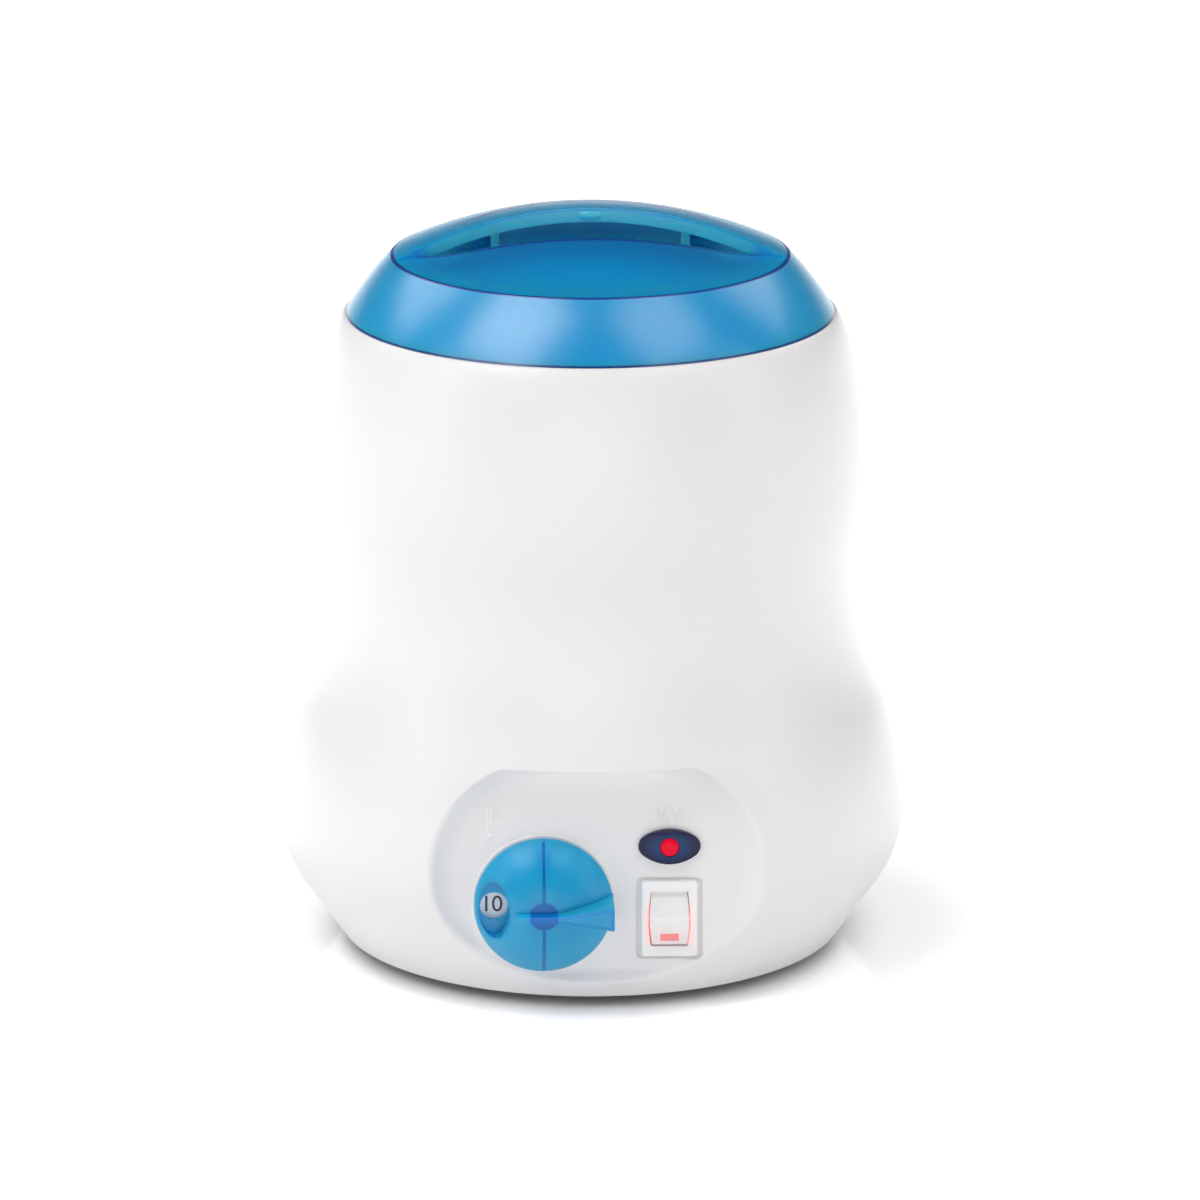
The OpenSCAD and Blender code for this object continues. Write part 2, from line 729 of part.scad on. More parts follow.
module thermostat_screws() {
    color(steel_grey)
    on_panel(dial_x, dial_z) for (s = [-1, 1]) translate([0, s * stat_screw_reach, 0]) difference() {
        union() {
            translate([0, 0, -wall - 6]) cylinder(r = screw_r, h = wall + 6, $fn = 32);
            translate([0, 0, -sink_h]) cylinder(r1 = sink_low_r, r2 = sink_top_r, h = sink_h, $fn = 32);
        }
        for (a = [0, 90]) rotate([0, 0, a]) translate([-sink_h, -0.4, -sink_h / 2])
            cube([2 * sink_h, 0.8, 2]);
    }
}

module thermostat_shaft() {
    color("#d9c27a")
    on_panel(dial_x, dial_z) difference() {
        translate([0, 0, -wall - 12]) cylinder(r = shaft_r, h = wall + 12 + shaft_end);
        translate([-5, shaft_r - shaft_flat, 1.2]) cube([10, 5, 20]);
    }
}

module dial_scale_disc() {
    color("#fbfbfb")
    on_panel(dial_x, dial_z) difference() {
        cylinder(r = disc_r, h = disc_t);
        translate([0, 0, -1]) cylinder(r = bush_r + 0.4, h = disc_t + 2);
    }
}

// Dome of the dial: the solid under the sphere that is d below its surface.
module dial_dome_solid(d) {
    rotate_extrude() polygon(concat(
        [[0, 0], [dial_r - d, 0]],
        arc(0, dome_mid, dome_r - d, asin((dial_gap + dial_edge - dome_mid) / dome_r), 90, 14)));
}

module grip_plan(d) {
    polygon([
        [-7.4 + d, -0.8 + d / 3], [4, -1 + d / 3], [dial_r + 0.2 - d, -3.2 + d],
        [dial_r + 0.2 - d, 3.2 - d], [4, 1 - d / 3], [-7.4 + d, 0.8 - d / 3]]);
}

module dial() {
    color(lid_blue)
    on_panel(dial_x, dial_z) difference() {
        union() {
            difference() {
                dial_dome_solid(0);
                dial_dome_solid(dial_wall);
                translate([0, 0, -1]) cylinder(r = dial_r + 1, h = 1 + dial_gap);
            }
            // Hub and ribs inside the dome.
            intersection() {
                dial_dome_solid(0.3);
                union() {
                    translate([0, 0, hub_low]) cylinder(r = hub_r, h = 20);
                    translate([-rib_t / 2, -rib_end, rib_low]) cube([rib_t, 2 * rib_end, 20]);
                    translate([-window_reach, -rib_t / 2, rib_low]) cube([window_reach, rib_t, 20]);
                    // Wall and floor of the window's pocket.
                    translate([-window_reach, 0, dial_gap]) linear_extrude(20)
                        oval(cup_half[0], cup_half[1], cup_side_r);
                }
            }
            // Wedge grip, hollow from below.
            difference() {
                translate([0, 0, dial_gap]) linear_extrude(grip_top - dial_gap) grip_plan(0);
                translate([0, 0, dial_gap - 1]) linear_extrude(grip_top - dial_gap - 0.4) intersection() {
                    grip_plan(grip_wall);
                    translate([hub_r + 0.8, -5]) square([30, 10]);
                }
            }
        }
        // Pocket with its round window.
        translate([-window_reach, 0, dial_gap + dial_edge]) linear_extrude(20)
            oval(opening_half[0], opening_half[1], opening_side_r);
        translate([-window_reach, 0, 0]) cylinder(r = window_r, h = 10, $fn = 64);
        // Bore for the flatted shaft.
        difference() {
            cylinder(r = shaft_r, h = shaft_end + 0.2);
            translate([-5, shaft_r - shaft_flat, 1.2]) cube([10, 5, 20]);
        }
        spring_strip();
    }
}

// Flat spring that presses on the shaft's flat, in a slot of the hub.
module spring_strip() {
    translate([-1.5, shaft_r - shaft_flat, hub_low]) cube([3, 0.6, 6]);
}

module dial_spring_clip() {
    color(steel_grey)
    on_panel(dial_x, dial_z) spring_strip();
}

module switch_frame() {
    color("#fafafa")
    on_panel(switch_x, switch_z) difference() {
        union() {
            translate([0, 0, -pocket_depth]) linear_extrude(pocket_depth + bezel_front - 2 * bezel_step)
                round_rect(bezel_w, bezel_h, 1);
            translate([0, 0, bezel_front - 2 * bezel_step - eps]) linear_extrude(bezel_step)
                round_rect(bezel_w - 0.5, bezel_h - 0.5, 1);
            translate([0, 0, bezel_front - bezel_step - eps]) linear_extrude(bezel_step + eps)
                round_rect(bezel_w - 1.1, bezel_h - 1.1, 0.8);
            translate([0, 0, -switch_depth]) linear_extrude(switch_depth)
                square([cutout_w, cutout_h], center = true);
        }
        // Opening for the rocker, with slightly barrelled sides.
        translate([0, 0, pivot_depth - 5.5]) linear_extrude(20) intersection() {
            square([20, 2 * rocker_end_r + 2 * rocker_gap], center = true);
            for (s = [-1, 1]) translate([s * (rocker_barrel - rocker_half_w), 0])
                circle(rocker_barrel + rocker_gap, $fn = 200);
        }
        translate([-6.3, 0, pivot_depth]) rotate([0, 90, 0]) cylinder(r = pin_r + 0.06, h = 12.6, $fn = 48);
    }
}

// Rocker at its middle position, about its pivot: y is up and z points out of the panel.
module rocker_blank() {
    intersection() {
        translate([-10, 0, 0]) rotate([90, 0, 90]) linear_extrude(20) intersection() {
            polygon([
                [-8, ridge_h - 8 * tan(rocker_fall)], [-0.8, ridge_h - 0.25], [0, ridge_h - 0.1],
                [0.8, ridge_h - 0.25], [8, ridge_h - 8 * tan(rocker_fall)], [4, -4], [-4, -4]]);
            circle(rocker_end_r, $fn = 120);
        }
        translate([0, 0, -10]) linear_extrude(20) intersection() {
            square([2 * rocker_half_w, 20], center = true);
            for (s = [-1, 1]) translate([s * (rocker_barrel - rocker_half_w), 0])
                circle(rocker_barrel, $fn = 200);
        }
    }
}

module rocker_insert() {
    translate([-2.45, -6, -1]) cube([4.9, 1.85, 20]);
}

module at_rocker() {
    on_panel(switch_x, switch_z) translate([0, 0, pivot_depth]) rotate([-rocker_tilt, 0, 0]) children();
}

module switch_rocker() {
    color("#fdfdfd")
    at_rocker() {
        difference() {
            rocker_blank();
            rocker_insert();
        }
        translate([-6.2, 0, 0]) rotate([0, 90, 0]) cylinder(r = pin_r, h = 12.4, $fn = 48);
    }
}

module rocker_window() {
    color("#e2202c")
    at_rocker() intersection() {
        rocker_blank();
        rocker_insert();
    }
}

module switch_terminals() {
    color(brass_gold)
    on_panel(switch_x, switch_z) for (x = [-4, 4], y = [-5, 5])
        translate([x - 2.4, y - 0.4, -panel_y - switch_tab_y])
            cube([4.8, 0.8, panel_y + switch_tab_y - switch_depth]);
}

module lens_oval(d) {
    rotate([0, 0, 90]) oval(lens_h / 2 - d, lens_w / 2 - d, 12);
}

module indicator_lens() {
    color("#14285a")
    on_panel(switch_x, lamp_z) difference() {
        union() {
            intersection() {
                linear_extrude(4) lens_oval(0);
                translate([0, 0, 2.2 - 24]) sphere(24, $fn = 180);
            }
            translate([0, 0, -wall - 3]) cylinder(r = lamp_stem_r, h = wall + 3 + eps);
        }
        translate([0, 0, -wall - 4]) cylinder(r = jewel_r, h = 20);
    }
}

module indicator_jewel() {
    color("#ff2018")
    on_panel(switch_x, lamp_z) {
        translate([0, 0, -wall - 3]) cylinder(r = jewel_r, h = wall + 3 + 1.8);
        translate([0, 0, 1.8]) intersection() {
            cylinder(r = jewel_r, h = 2);
            translate([0, 0, 0.8 - 4.6]) sphere(4.6);
        }
    }
}

module indicator_holder() {
    color("#2c2c30")
    on_panel(switch_x, lamp_z) difference() {
        translate([0, 0, -wall - holder_len]) cylinder(r = holder_r, h = holder_len);
        translate([0, 0, -wall - 3]) cylinder(r = lamp_stem_r, h = 4);
        translate([0, 0, -wall - holder_len + 2]) cylinder(r = 3.2, h = holder_len);
        for (s = [-1, 1]) translate([s * 1.5, 0, -wall - holder_len - 1])
            cylinder(r = lead_r + 0.1, h = 4, $fn = 24);
    }
}

module neon_lamp() {
    color([1, 0.55, 0.35, 0.8])
    on_panel(switch_x, lamp_z) {
        translate([0, 0, -wall - holder_len + 2]) cylinder(r = 2.6, h = 6);
        translate([0, 0, -wall - holder_len + 8]) sphere(2.6);
    }
}

module terminal_block() {
    color("#ecead8")
    difference() {
        union() {
            translate([-block_w / 2, block_y, plate_top]) cube([block_w, block_d, 4]);
            for (x = [-12, 0, 12]) translate([x - 5, block_y, plate_top]) cube([10, block_d, block_h]);
        }
        for (x = [-12, 0, 12]) translate([x, block_y + block_d / 2, plate_top + block_h - 3])
            cylinder(r = 2, h = 5, $fn = 32);
    }
}

module live_wires() {
    color("#7a3b1e")
    for (p = live_routes) tube(p, wire_r);
}

module neutral_wires() {
    color("#1c5fb8")
    for (p = neutral_routes) tube(p, wire_r);
}

module earth_wire() {
    color("#4aa02c")
    tube(earth_route, wire_r);
}

module lamp_leads() {
    color("#2a2a2e")
    for (p = lamp_routes) tube(p, lead_r);
}

module earth_screw() {
    color(brass_gold)
    translate([earth_place[0], earth_place[1], 0]) {
        translate([0, 0, shield_z - 2]) cylinder(r = 2 * earth_screw_r, h = 2);
        translate([0, 0, shield_z]) cylinder(r = earth_screw_r, h = shield_t, $fn = 32);
        translate([0, 0, shield_z + shield_t]) hexagon(5.5, 2);
    }
}

// Outside of the lid's skirt and edge, moved in by d, as a profile from the rim to the edge of the top.
function skirt_line(d) =
    arc(lid_mid[0], lid_mid[1], lid_bow - d, lid_slope - lid_half - 3, lid_slope + lid_half, 6);

// Low front dome: a crown that turns into a shallow hollow before the edge.
function front_line(d) = concat(
    arc(front_edge, hollow_low + hollow_r, hollow_r + d, -90, -90 - front_turn_a, 5),
    arc(0, front_tip_z - front_r, front_r - d, 90 - front_turn_a, 90, 8));

module lid_front(d) {
    rotate_extrude() polygon(concat([[0, 0]], [[skirt_line(d)[0][0], 0]], skirt_line(d), front_line(d)));
}

module lid_hood(d) {
    rotate_extrude() polygon(concat([[0, 0]], [[skirt_line(d)[0][0], 0]], skirt_line(d),
        arc(0, hood_z - hood_r, hood_r - d, 90 - asin(plateau_r / hood_r) * 0.98, 90, 12)));
}

// Space in front of the hood's brim, moved back by d.
module before_brim(d) {
    translate([0, brim_y - brim_r, 0]) cylinder(r = brim_r + d, h = 300, $fn = 240);
}

module lid_outside() {
    lid_front(0);
    difference() {
        lid_hood(0);
        before_brim(0);
    }
}

module lid_inside() {
    lid_front(lid_wall);
    difference() {
        lid_hood(lid_wall);
        before_brim(0);
    }
}

// Plan of the finger pocket, grown by g.
module pocket_plan(g) {
    intersection() {
        translate([0, lip_r - lip_y]) circle(lip_r + g, $fn = 240);
        translate([0, pocket_back - pocket_back_r]) circle(pocket_back_r + g, $fn = 200);
    }
}

module lid() {
    color(lid_blue)
    difference() {
        union() {
            // Skirt, front dome and hood, without the mouth.
            difference() {
                lid_outside();
                lid_inside();
                intersection() {
                    translate([0, 0, pocket_floor]) linear_extrude(40) pocket_plan(0);
                    before_brim(0);
                }
            }
            // Wall and floor of the finger pocket.
            intersection() {
                lid_outside();
                difference() {
                    translate([0, 0, pocket_floor - lid_wall]) linear_extrude(40) pocket_plan(lid_wall);
                    translate([0, 0, pocket_floor]) linear_extrude(40) pocket_plan(0);
                }
            }
            // Two ribs between the pocket's floor and the hood.
            intersection() {
                difference() {
                    lid_hood(eps);
                    before_brim(0);
                }
                for (s = [-1, 1]) translate([s * grip_rib_x - grip_rib_t / 2, -20, pocket_floor - 1])
                    cube([grip_rib_t, 36, 40]);
            }
            // Ribs inside the skirt.
            intersection() {
                lid_front(eps);
                for (a = [0:45:315]) rotate([0, 0, a])
                    translate([-skirt_rib_t / 2, plateau_r - 2.4, skirt_rib_z[0]])
                        cube([skirt_rib_t, 12, skirt_rib_z[1] - skirt_rib_z[0]]);
            }
            // Moulding gate on the brim.
            translate([0, brim_y + 0.6, hood_z - 1.9]) sphere(gate_r, $fn = 40);
        }
        translate([0, 0, -1]) cylinder(r = 100, h = shoulder_z + 1);
    }
}

casing();
base_plate();
rubber_feet();
base_screws();
cord_gland();
heating_pot();
pot_gasket();
heater_band();
heater_clamp();
insulation_sleeve();
heat_shield();
pot_spacer();
tie_rod();
tie_nuts();
sensor_bulb();
bulb_clips();
capillary_tube();
thermal_cutout();
thermostat_body();
thermostat_terminals();
thermostat_screws();
thermostat_shaft();
dial_scale_disc();
dial();
dial_spring_clip();
switch_frame();
switch_rocker();
rocker_window();
switch_terminals();
indicator_lens();
indicator_jewel();
indicator_holder();
neon_lamp();
terminal_block();
live_wires();
neutral_wires();
earth_wire();
lamp_leads();
earth_screw();
lid();
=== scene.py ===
"""Looks of the wax warmer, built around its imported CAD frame.

Every length in the dataclasses is in millimetres and is turned into metres where a mesh is made. The frame's axes
are those of the CAD model: +Z is up, -Y is the front with the control panel, and the origin is on the table under
the middle of the foot.
"""

from __future__ import annotations

import json
import logging
import math
from contextlib import contextmanager
from dataclasses import dataclass
from enum import Enum
from functools import reduce
from typing import Iterable, Iterator, Sequence

import bmesh
import bpy
import numpy as np
from mathutils import Matrix, Vector

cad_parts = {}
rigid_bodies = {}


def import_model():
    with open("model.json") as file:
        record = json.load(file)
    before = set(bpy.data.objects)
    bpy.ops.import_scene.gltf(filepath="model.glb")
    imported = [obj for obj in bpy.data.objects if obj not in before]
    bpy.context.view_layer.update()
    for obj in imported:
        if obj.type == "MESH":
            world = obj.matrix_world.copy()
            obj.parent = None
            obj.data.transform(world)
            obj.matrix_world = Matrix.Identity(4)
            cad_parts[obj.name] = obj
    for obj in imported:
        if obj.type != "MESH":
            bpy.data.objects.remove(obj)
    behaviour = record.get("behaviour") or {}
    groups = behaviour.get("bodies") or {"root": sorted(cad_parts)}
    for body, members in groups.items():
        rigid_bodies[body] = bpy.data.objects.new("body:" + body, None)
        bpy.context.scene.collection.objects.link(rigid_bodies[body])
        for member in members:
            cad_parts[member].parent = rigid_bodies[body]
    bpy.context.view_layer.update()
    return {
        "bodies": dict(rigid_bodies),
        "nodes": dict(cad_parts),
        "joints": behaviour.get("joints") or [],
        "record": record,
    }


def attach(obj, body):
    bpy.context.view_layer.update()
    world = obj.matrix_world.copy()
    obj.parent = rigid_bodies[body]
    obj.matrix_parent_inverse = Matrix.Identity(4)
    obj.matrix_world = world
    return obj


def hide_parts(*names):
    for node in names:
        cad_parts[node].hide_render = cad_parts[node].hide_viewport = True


LOG = logging.getLogger("wax_warmer")
MM = 0.001
Point = tuple[float, float, float]
Colour = tuple[float, float, float]
Spot = tuple[float, float]
Span = tuple[float, float]
Profile = list[Spot]
Piece = bpy.types.Object
Socket = bpy.types.NodeSocket
Material = bpy.types.Material
ON_AXIS = 1e-9
NOISE_SPAN = (0.3, 0.7)


class Body(Enum):
    """CAD bodies that pieces ride on."""

    ROOT = "root"
    DIAL = "dial_body"
    ROCKER = "rocker_body"
    LID = "lid_body"


class Join(Enum):
    """Ways of joining two closed meshes."""

    ADD = "UNION"
    CUT = "DIFFERENCE"
    KEEP = "INTERSECT"


class Course(Enum):
    """Courses of a value between two ends."""

    STRAIGHT = "LINEAR"
    SMOOTH = "SMOOTHSTEP"


def arc(cx: float, cy: float, radius: float, start: float, end: float, steps: int) -> Profile:
    """Points along a circular arc.

    Args:
        cx: Centre along the first axis.
        cy: Centre along the second axis.
        radius: Radius of the arc.
        start: First angle in degrees.
        end: Last angle in degrees.
        steps: Number of straight steps.

    Returns:
        The points from start to end, both included.
    """
    angles = np.radians(np.linspace(start, end, steps + 1))
    return [(cx + radius * math.cos(a), cy + radius * math.sin(a)) for a in angles]


def oval_outline(half_w: float, half_h: float, side_r: float, steps: int = 16) -> Profile:
    """Oval of four tangent arcs, taller than it is wide.

    Args:
        half_w: Half of the width.
        half_h: Half of the height.
        side_r: Radius of the two long sides.
        steps: Steps in each arc.

    Returns:
        The closed outline, counterclockwise.
    """
    c = (side_r**2 - (side_r - half_w) ** 2 - 2 * side_r * half_h + half_h**2) / (2 * (half_h - side_r))
    end_r = half_h - c
    turn = math.degrees(math.atan2(c, side_r - half_w))
    sides = [
        arc(half_w - side_r, 0, side_r, -turn, turn, steps)[:-1],
        arc(0, c, end_r, turn, 180 - turn, steps)[:-1],
        arc(side_r - half_w, 0, side_r, 180 - turn, 180 + turn, steps)[:-1],
        arc(0, -c, end_r, 180 + turn, 360 - turn, steps)[:-1],
    ]
    return [p for side in sides for p in side]


def round_rect_outline(width: float, height: float, radius: float, steps: int = 6) -> Profile:
    """Outline of a rectangle with round corners.

    Args:
        width: Full width.
        height: Full height.
        radius: Radius of the corners.
        steps: Steps in each corner.

    Returns:
        The closed outline, counterclockwise.
    """
    x, y = width / 2 - radius, height / 2 - radius
    corners = [(x, y, 0), (-x, y, 90), (-x, -y, 180), (x, -y, 270)]
    return [p for cx, cy, a in corners for p in arc(cx, cy, radius, a, a + 90, steps)]


def smooth_step(low: float, high: float, value: np.ndarray | float) -> np.ndarray | float:
    """Turns smoothly from 0 at low to 1 at high."""
    t = np.clip((value - low) / (high - low), 0, 1)
    return t * t * (3 - 2 * t)


def soft_min(a: np.ndarray, b: np.ndarray, width: float) -> np.ndarray:
    """Smaller of two heights, with a round of the given width where they cross."""
    h = np.clip(0.5 + 0.5 * (b - a) / width, 0, 1)
    return b + (a - b) * h - width * h * (1 - h)


def soft_max(a: np.ndarray, b: np.ndarray, width: float) -> np.ndarray:
    """Larger of two heights, with a round of the given width where they cross."""
    return -soft_min(-a, -b, width)


def spaced(marks: Sequence[float], counts: Sequence[int]) -> np.ndarray:
    """Spaces places evenly between each mark and the next.

    Args:
        marks: The marks, in order.
        counts: Number of places in each stretch, with both its ends.

    Returns:
        All the places, without doubles.
    """
    runs = [np.linspace(a, b, count) for a, b, count in zip(marks, marks[1:], counts)]
    return np.concatenate([run[:-1] for run in runs[:-1]] + [runs[-1]])


def new_piece(name: str, verts: Iterable[Sequence[float]], faces: Iterable[Sequence[int]]) -> Piece:
    """Makes an object from points in millimetres.

    Args:
        name: Name of the piece.
        verts: Points in the frame's axes, in millimetres.
        faces: Corner indices of each face, counterclockwise from outside.

    Returns:
        The new object, at the origin.
    """
    mesh = bpy.data.meshes.new(name)
    mesh.from_pydata([tuple(float(c) * MM for c in v) for v in verts], [], [tuple(f) for f in faces])
    mesh.validate()
    return linked(name, mesh)


def linked(name: str, data: bpy.types.ID) -> Piece:
    """Makes an object of a mesh, curve, camera or lamp and adds it to the scene.

    Args:
        name: Name of the object.
        data: What it shows.

    Returns:
        The new object, at the origin.
    """
    made = bpy.data.objects.new(name, data)
    bpy.context.scene.collection.objects.link(made)
    return made


@contextmanager
def edited(mesh: bpy.types.Mesh) -> Iterator[bmesh.types.BMesh]:
    """Opens a mesh for editing and writes it back.

    Args:
        mesh: The mesh.

    Returns:
        The open mesh.
    """
    bm = bmesh.new()
    bm.from_mesh(mesh)
    yield bm
    bm.to_mesh(mesh)
    bm.free()


def shade(piece: Piece, angle: float = 32.0) -> Piece:
    """Shades a piece smooth.

    Args:
        piece: The piece.
        angle: Edges past this stay sharp, in degrees.

    Returns:
        The same piece.
    """
    piece.data.shade_smooth()
    piece.data.set_sharp_from_angle(angle=math.radians(angle))
    return piece


def tidy_mesh(piece: Piece, distance: float = 0.002) -> Piece:
    """Merges doubles and turns the faces outwards.

    Args:
        piece: Object whose mesh is tidied.
        distance: Merging distance in millimetres.

    Returns:
        The same object.
    """
    with edited(piece.data) as bm:
        bmesh.ops.remove_doubles(bm, verts=bm.verts, dist=distance * MM)
        bmesh.ops.dissolve_degenerate(bm, edges=bm.edges, dist=distance * MM / 2)
        bmesh.ops.recalc_face_normals(bm, faces=bm.faces)
    return piece


def lathe(name: str, profile: Profile, segments: int = 128) -> Piece:
    """Turns a profile of radius and height round the Z axis.

    Args:
        name: Name of the piece.
        profile: Points of radius and height as a closed loop, which may touch the axis.
        segments: Steps round the axis.

    Returns:
        The closed piece.
    """
    verts: list[Point] = []
    rings: list[list[int]] = []
    for r, z in profile:
        count = 1 if r < ON_AXIS else segments
        rings.append(list(range(len(verts), len(verts) + count)))
        turns = [2 * math.pi * k / segments for k in range(count)]
        verts.extend((r * math.cos(t), r * math.sin(t), z) for t in turns)
    faces: list[tuple[int, ...]] = []
    for a, b in zip(rings, rings[1:] + rings[:1]):
        for k in range(segments if len(a) + len(b) > 2 else 0):
            n = (k + 1) % segments
            quad = [a[k % len(a)], a[n % len(a)], b[n % len(b)], b[k % len(b)]]
            faces.append(tuple(dict.fromkeys(quad)))
    return tidy_mesh(new_piece(name, verts, faces))


def prism(name: str, outline: Profile, low: float, high: float, flare: float = 0.0) -> Piece:
    """Stands an outline up along Z.

    Args:
        name: Name of the piece.
        outline: Closed outline in X and Y, counterclockwise.
        low: Height of the lower face.
        high: Height of the upper face.
        flare: How far the upper outline is moved away from its middle.

    Returns:
        The closed piece.
    """
    count = len(outline)
    middle = np.mean(np.array(outline), axis=0)
    top: list[Point] = []
    for spot in outline:
        away = np.array(spot) - middle
        top.append((*(away * (1 + flare / max(np.linalg.norm(away), 1e-6)) + middle), high))
    verts = [(x, y, low) for x, y in outline] + top
    faces: list[tuple[int, ...]] = [tuple(range(count - 1, -1, -1)), tuple(range(count, 2 * count))]
    faces += [(k, (k + 1) % count, count + (k + 1) % count, count + k) for k in range(count)]
    return tidy_mesh(new_piece(name, verts, faces))


def stack(name: str, rings: Sequence[Sequence[Point]], closed: bool = False) -> Piece:
    """Skins a row of rings that have the same number of points.

    Args:
        name: Name of the piece.
        rings: The rings, each counterclockwise seen from the last one.
        closed: Whether the last ring meets the first; otherwise both ends are capped.

    Returns:
        The closed piece.
    """
    count = len(rings[0])
    verts = [p for ring in rings for p in ring]
    faces: list[tuple[int, ...]] = []
    for k in range(len(rings) if closed else len(rings) - 1):
        a, b = k * count, ((k + 1) % len(rings)) * count
        faces += [(a + j, a + (j + 1) % count, b + (j + 1) % count, b + j) for j in range(count)]
    if not closed:
        faces += [tuple(range(count - 1, -1, -1)), tuple(range(len(verts) - count, len(verts)))]
    return tidy_mesh(new_piece(name, verts, faces))


def block(name: str, low: Point, high: Point) -> Piece:
    """Makes a block between two corners, for cuts and ribs."""
    outline = [(low[0], low[1]), (high[0], low[1]), (high[0], high[1]), (low[0], high[1])]
    return prism(name, outline, low[2], high[2])


def disc_tool(name: str, radius: float, low: float, high: float, at: Spot = (0, 0)) -> Piece:
    """Makes a round bar along Z, for holes and bosses."""
    outline = [(x + at[0], y + at[1]) for x, y in arc(0, 0, radius, 0, 360, 64)[:-1]]
    return prism(name, outline, low, high)


def bake_modifiers(piece: Piece) -> Piece:
    """Turns a piece's modifiers into a plain mesh.

    Args:
        piece: The piece.

    Returns:
        The same piece, without modifiers.
    """
    depsgraph = bpy.context.evaluated_depsgraph_get()
    mesh = bpy.data.meshes.new_from_object(piece.evaluated_get(depsgraph))
    mesh.name = piece.name
    piece.modifiers.clear()
    piece.data = mesh
    return piece


def combine(base: Piece, tool: Piece, how: Join) -> Piece:
    """Joins two closed meshes and removes the second.

    Args:
        base: Piece that stays and takes the result.
        tool: Piece that is added, cut away or kept in common.
        how: Way of joining.

    Returns:
        The base piece.
    """
    modifier = base.modifiers.new("joining", "BOOLEAN")
    modifier.operation = how.value
    modifier.solver = "MANIFOLD"
    modifier.object = tool
    bake_modifiers(base)
    bpy.data.objects.remove(tool)
    return base


def soften(piece: Piece, width: float, angle: float = 35.0, segments: int = 2) -> Piece:
    """Rounds the sharp edges of a piece.

    Args:
        piece: Closed piece.
        width: Width of the round in millimetres.
        angle: Edges past this are rounded, in degrees.
        segments: Steps in the round.

    Returns:
        The same piece, with the round in its mesh.
    """
    modifier = piece.modifiers.new("edge_round", "BEVEL")
    modifier.width = width * MM
    modifier.segments = segments
    modifier.limit_method = "ANGLE"
    modifier.angle_limit = math.radians(angle)
    modifier.use_clamp_overlap = True
    return bake_modifiers(piece)


def place(piece: Piece, matrix: Matrix) -> Piece:
    """Moves a piece's mesh and leaves the object at the origin.

    Args:
        piece: The piece.
        matrix: Where it goes, in millimetres.

    Returns:
        The same piece.
    """
    moved = matrix.copy()
    moved.translation = moved.translation * MM
    piece.data.transform(moved)
    piece.data.update()
    return piece


def copy_of(node: Piece, name: str, dissolve: float = 0.4) -> Piece:
    """Copies a CAD node's mesh into a merged piece that can be rounded and shaded.

    Args:
        node: CAD node's object.
        name: Name of the new piece.
        dissolve: Edges flatter than this angle in degrees are dissolved.

    Returns:
        The new piece.
    """
    piece = linked(name, node.data.copy())
    piece.data.materials.clear()
    tidy_mesh(piece, 0.004)
    with edited(piece.data) as bm:
        bmesh.ops.dissolve_limit(bm, angle_limit=math.radians(dissolve), verts=bm.verts, edges=bm.edges)
    return piece


def raised_text(name: str, text: str, height: float, thick: float) -> Piece:
    """Makes a number as a thin solid, centred on its own zero.

    Args:
        name: Name of the piece.
        text: The number.
        height: Height of a digit in millimetres.
        thick: Thickness in millimetres.

    Returns:
        The number as a mesh in X and Y.
    """
    curve = bpy.data.curves.new(name, "FONT")
    curve.body = text
    curve.align_x, curve.align_y = "CENTER", "CENTER"
    curve.size = height * MM / 0.7
    curve.space_character = 0.92
    curve.extrude = thick / 2 * MM
    curve.resolution_u = 6
    host = linked(name, curve)
    bpy.context.view_layer.update()
    mesh = bpy.data.meshes.new_from_object(host.evaluated_get(bpy.context.evaluated_depsgraph_get()))
    bpy.data.objects.remove(host)
    with edited(mesh) as bm:
        bmesh.ops.remove_doubles(bm, verts=bm.verts, dist=0.001 * MM)
        middle = [(min(v.co[k] for v in bm.verts) + max(v.co[k] for v in bm.verts)) / 2 for k in (0, 1)]
        bmesh.ops.translate(bm, vec=(-middle[0], -middle[1], thick / 2 * MM), verts=bm.verts)
        bmesh.ops.recalc_face_normals(bm, faces=bm.faces)
    return linked(name, mesh)


@dataclass(frozen=True)
class Panel:
    """Flat control panel that the dial, the switch and the lamp stand on."""

    y: float = 70.0
    z: float = 38.0
    span: float = 24.6
    floor_r: float = 28.0
    slope: float = 0.875
    slope_reach: float = 4.8
    top: float = 68.3
    bottom: float = 9.6
    bottom_slope: float = 1.667
    dial: Spot = (-14.3, 30.0)
    switch: Spot = (19.2, 25.3)
    lamp: Spot = (19.2, 45.5)

    def at(self, x: float, z: float, height: float = 0.0) -> Matrix:
        """Matrix that stands a piece on the panel.

        Args:
            x: Sideways place.
            z: Height of the place.
            height: Distance of the piece's own zero from the panel.

        Returns:
            Matrix in millimetres, with X along the panel, Y up and Z outwards.
        """
        return Matrix(((1, 0, 0, x), (0, 0, -1, -self.y - height), (0, 1, 0, z), (0, 0, 0, 1)))


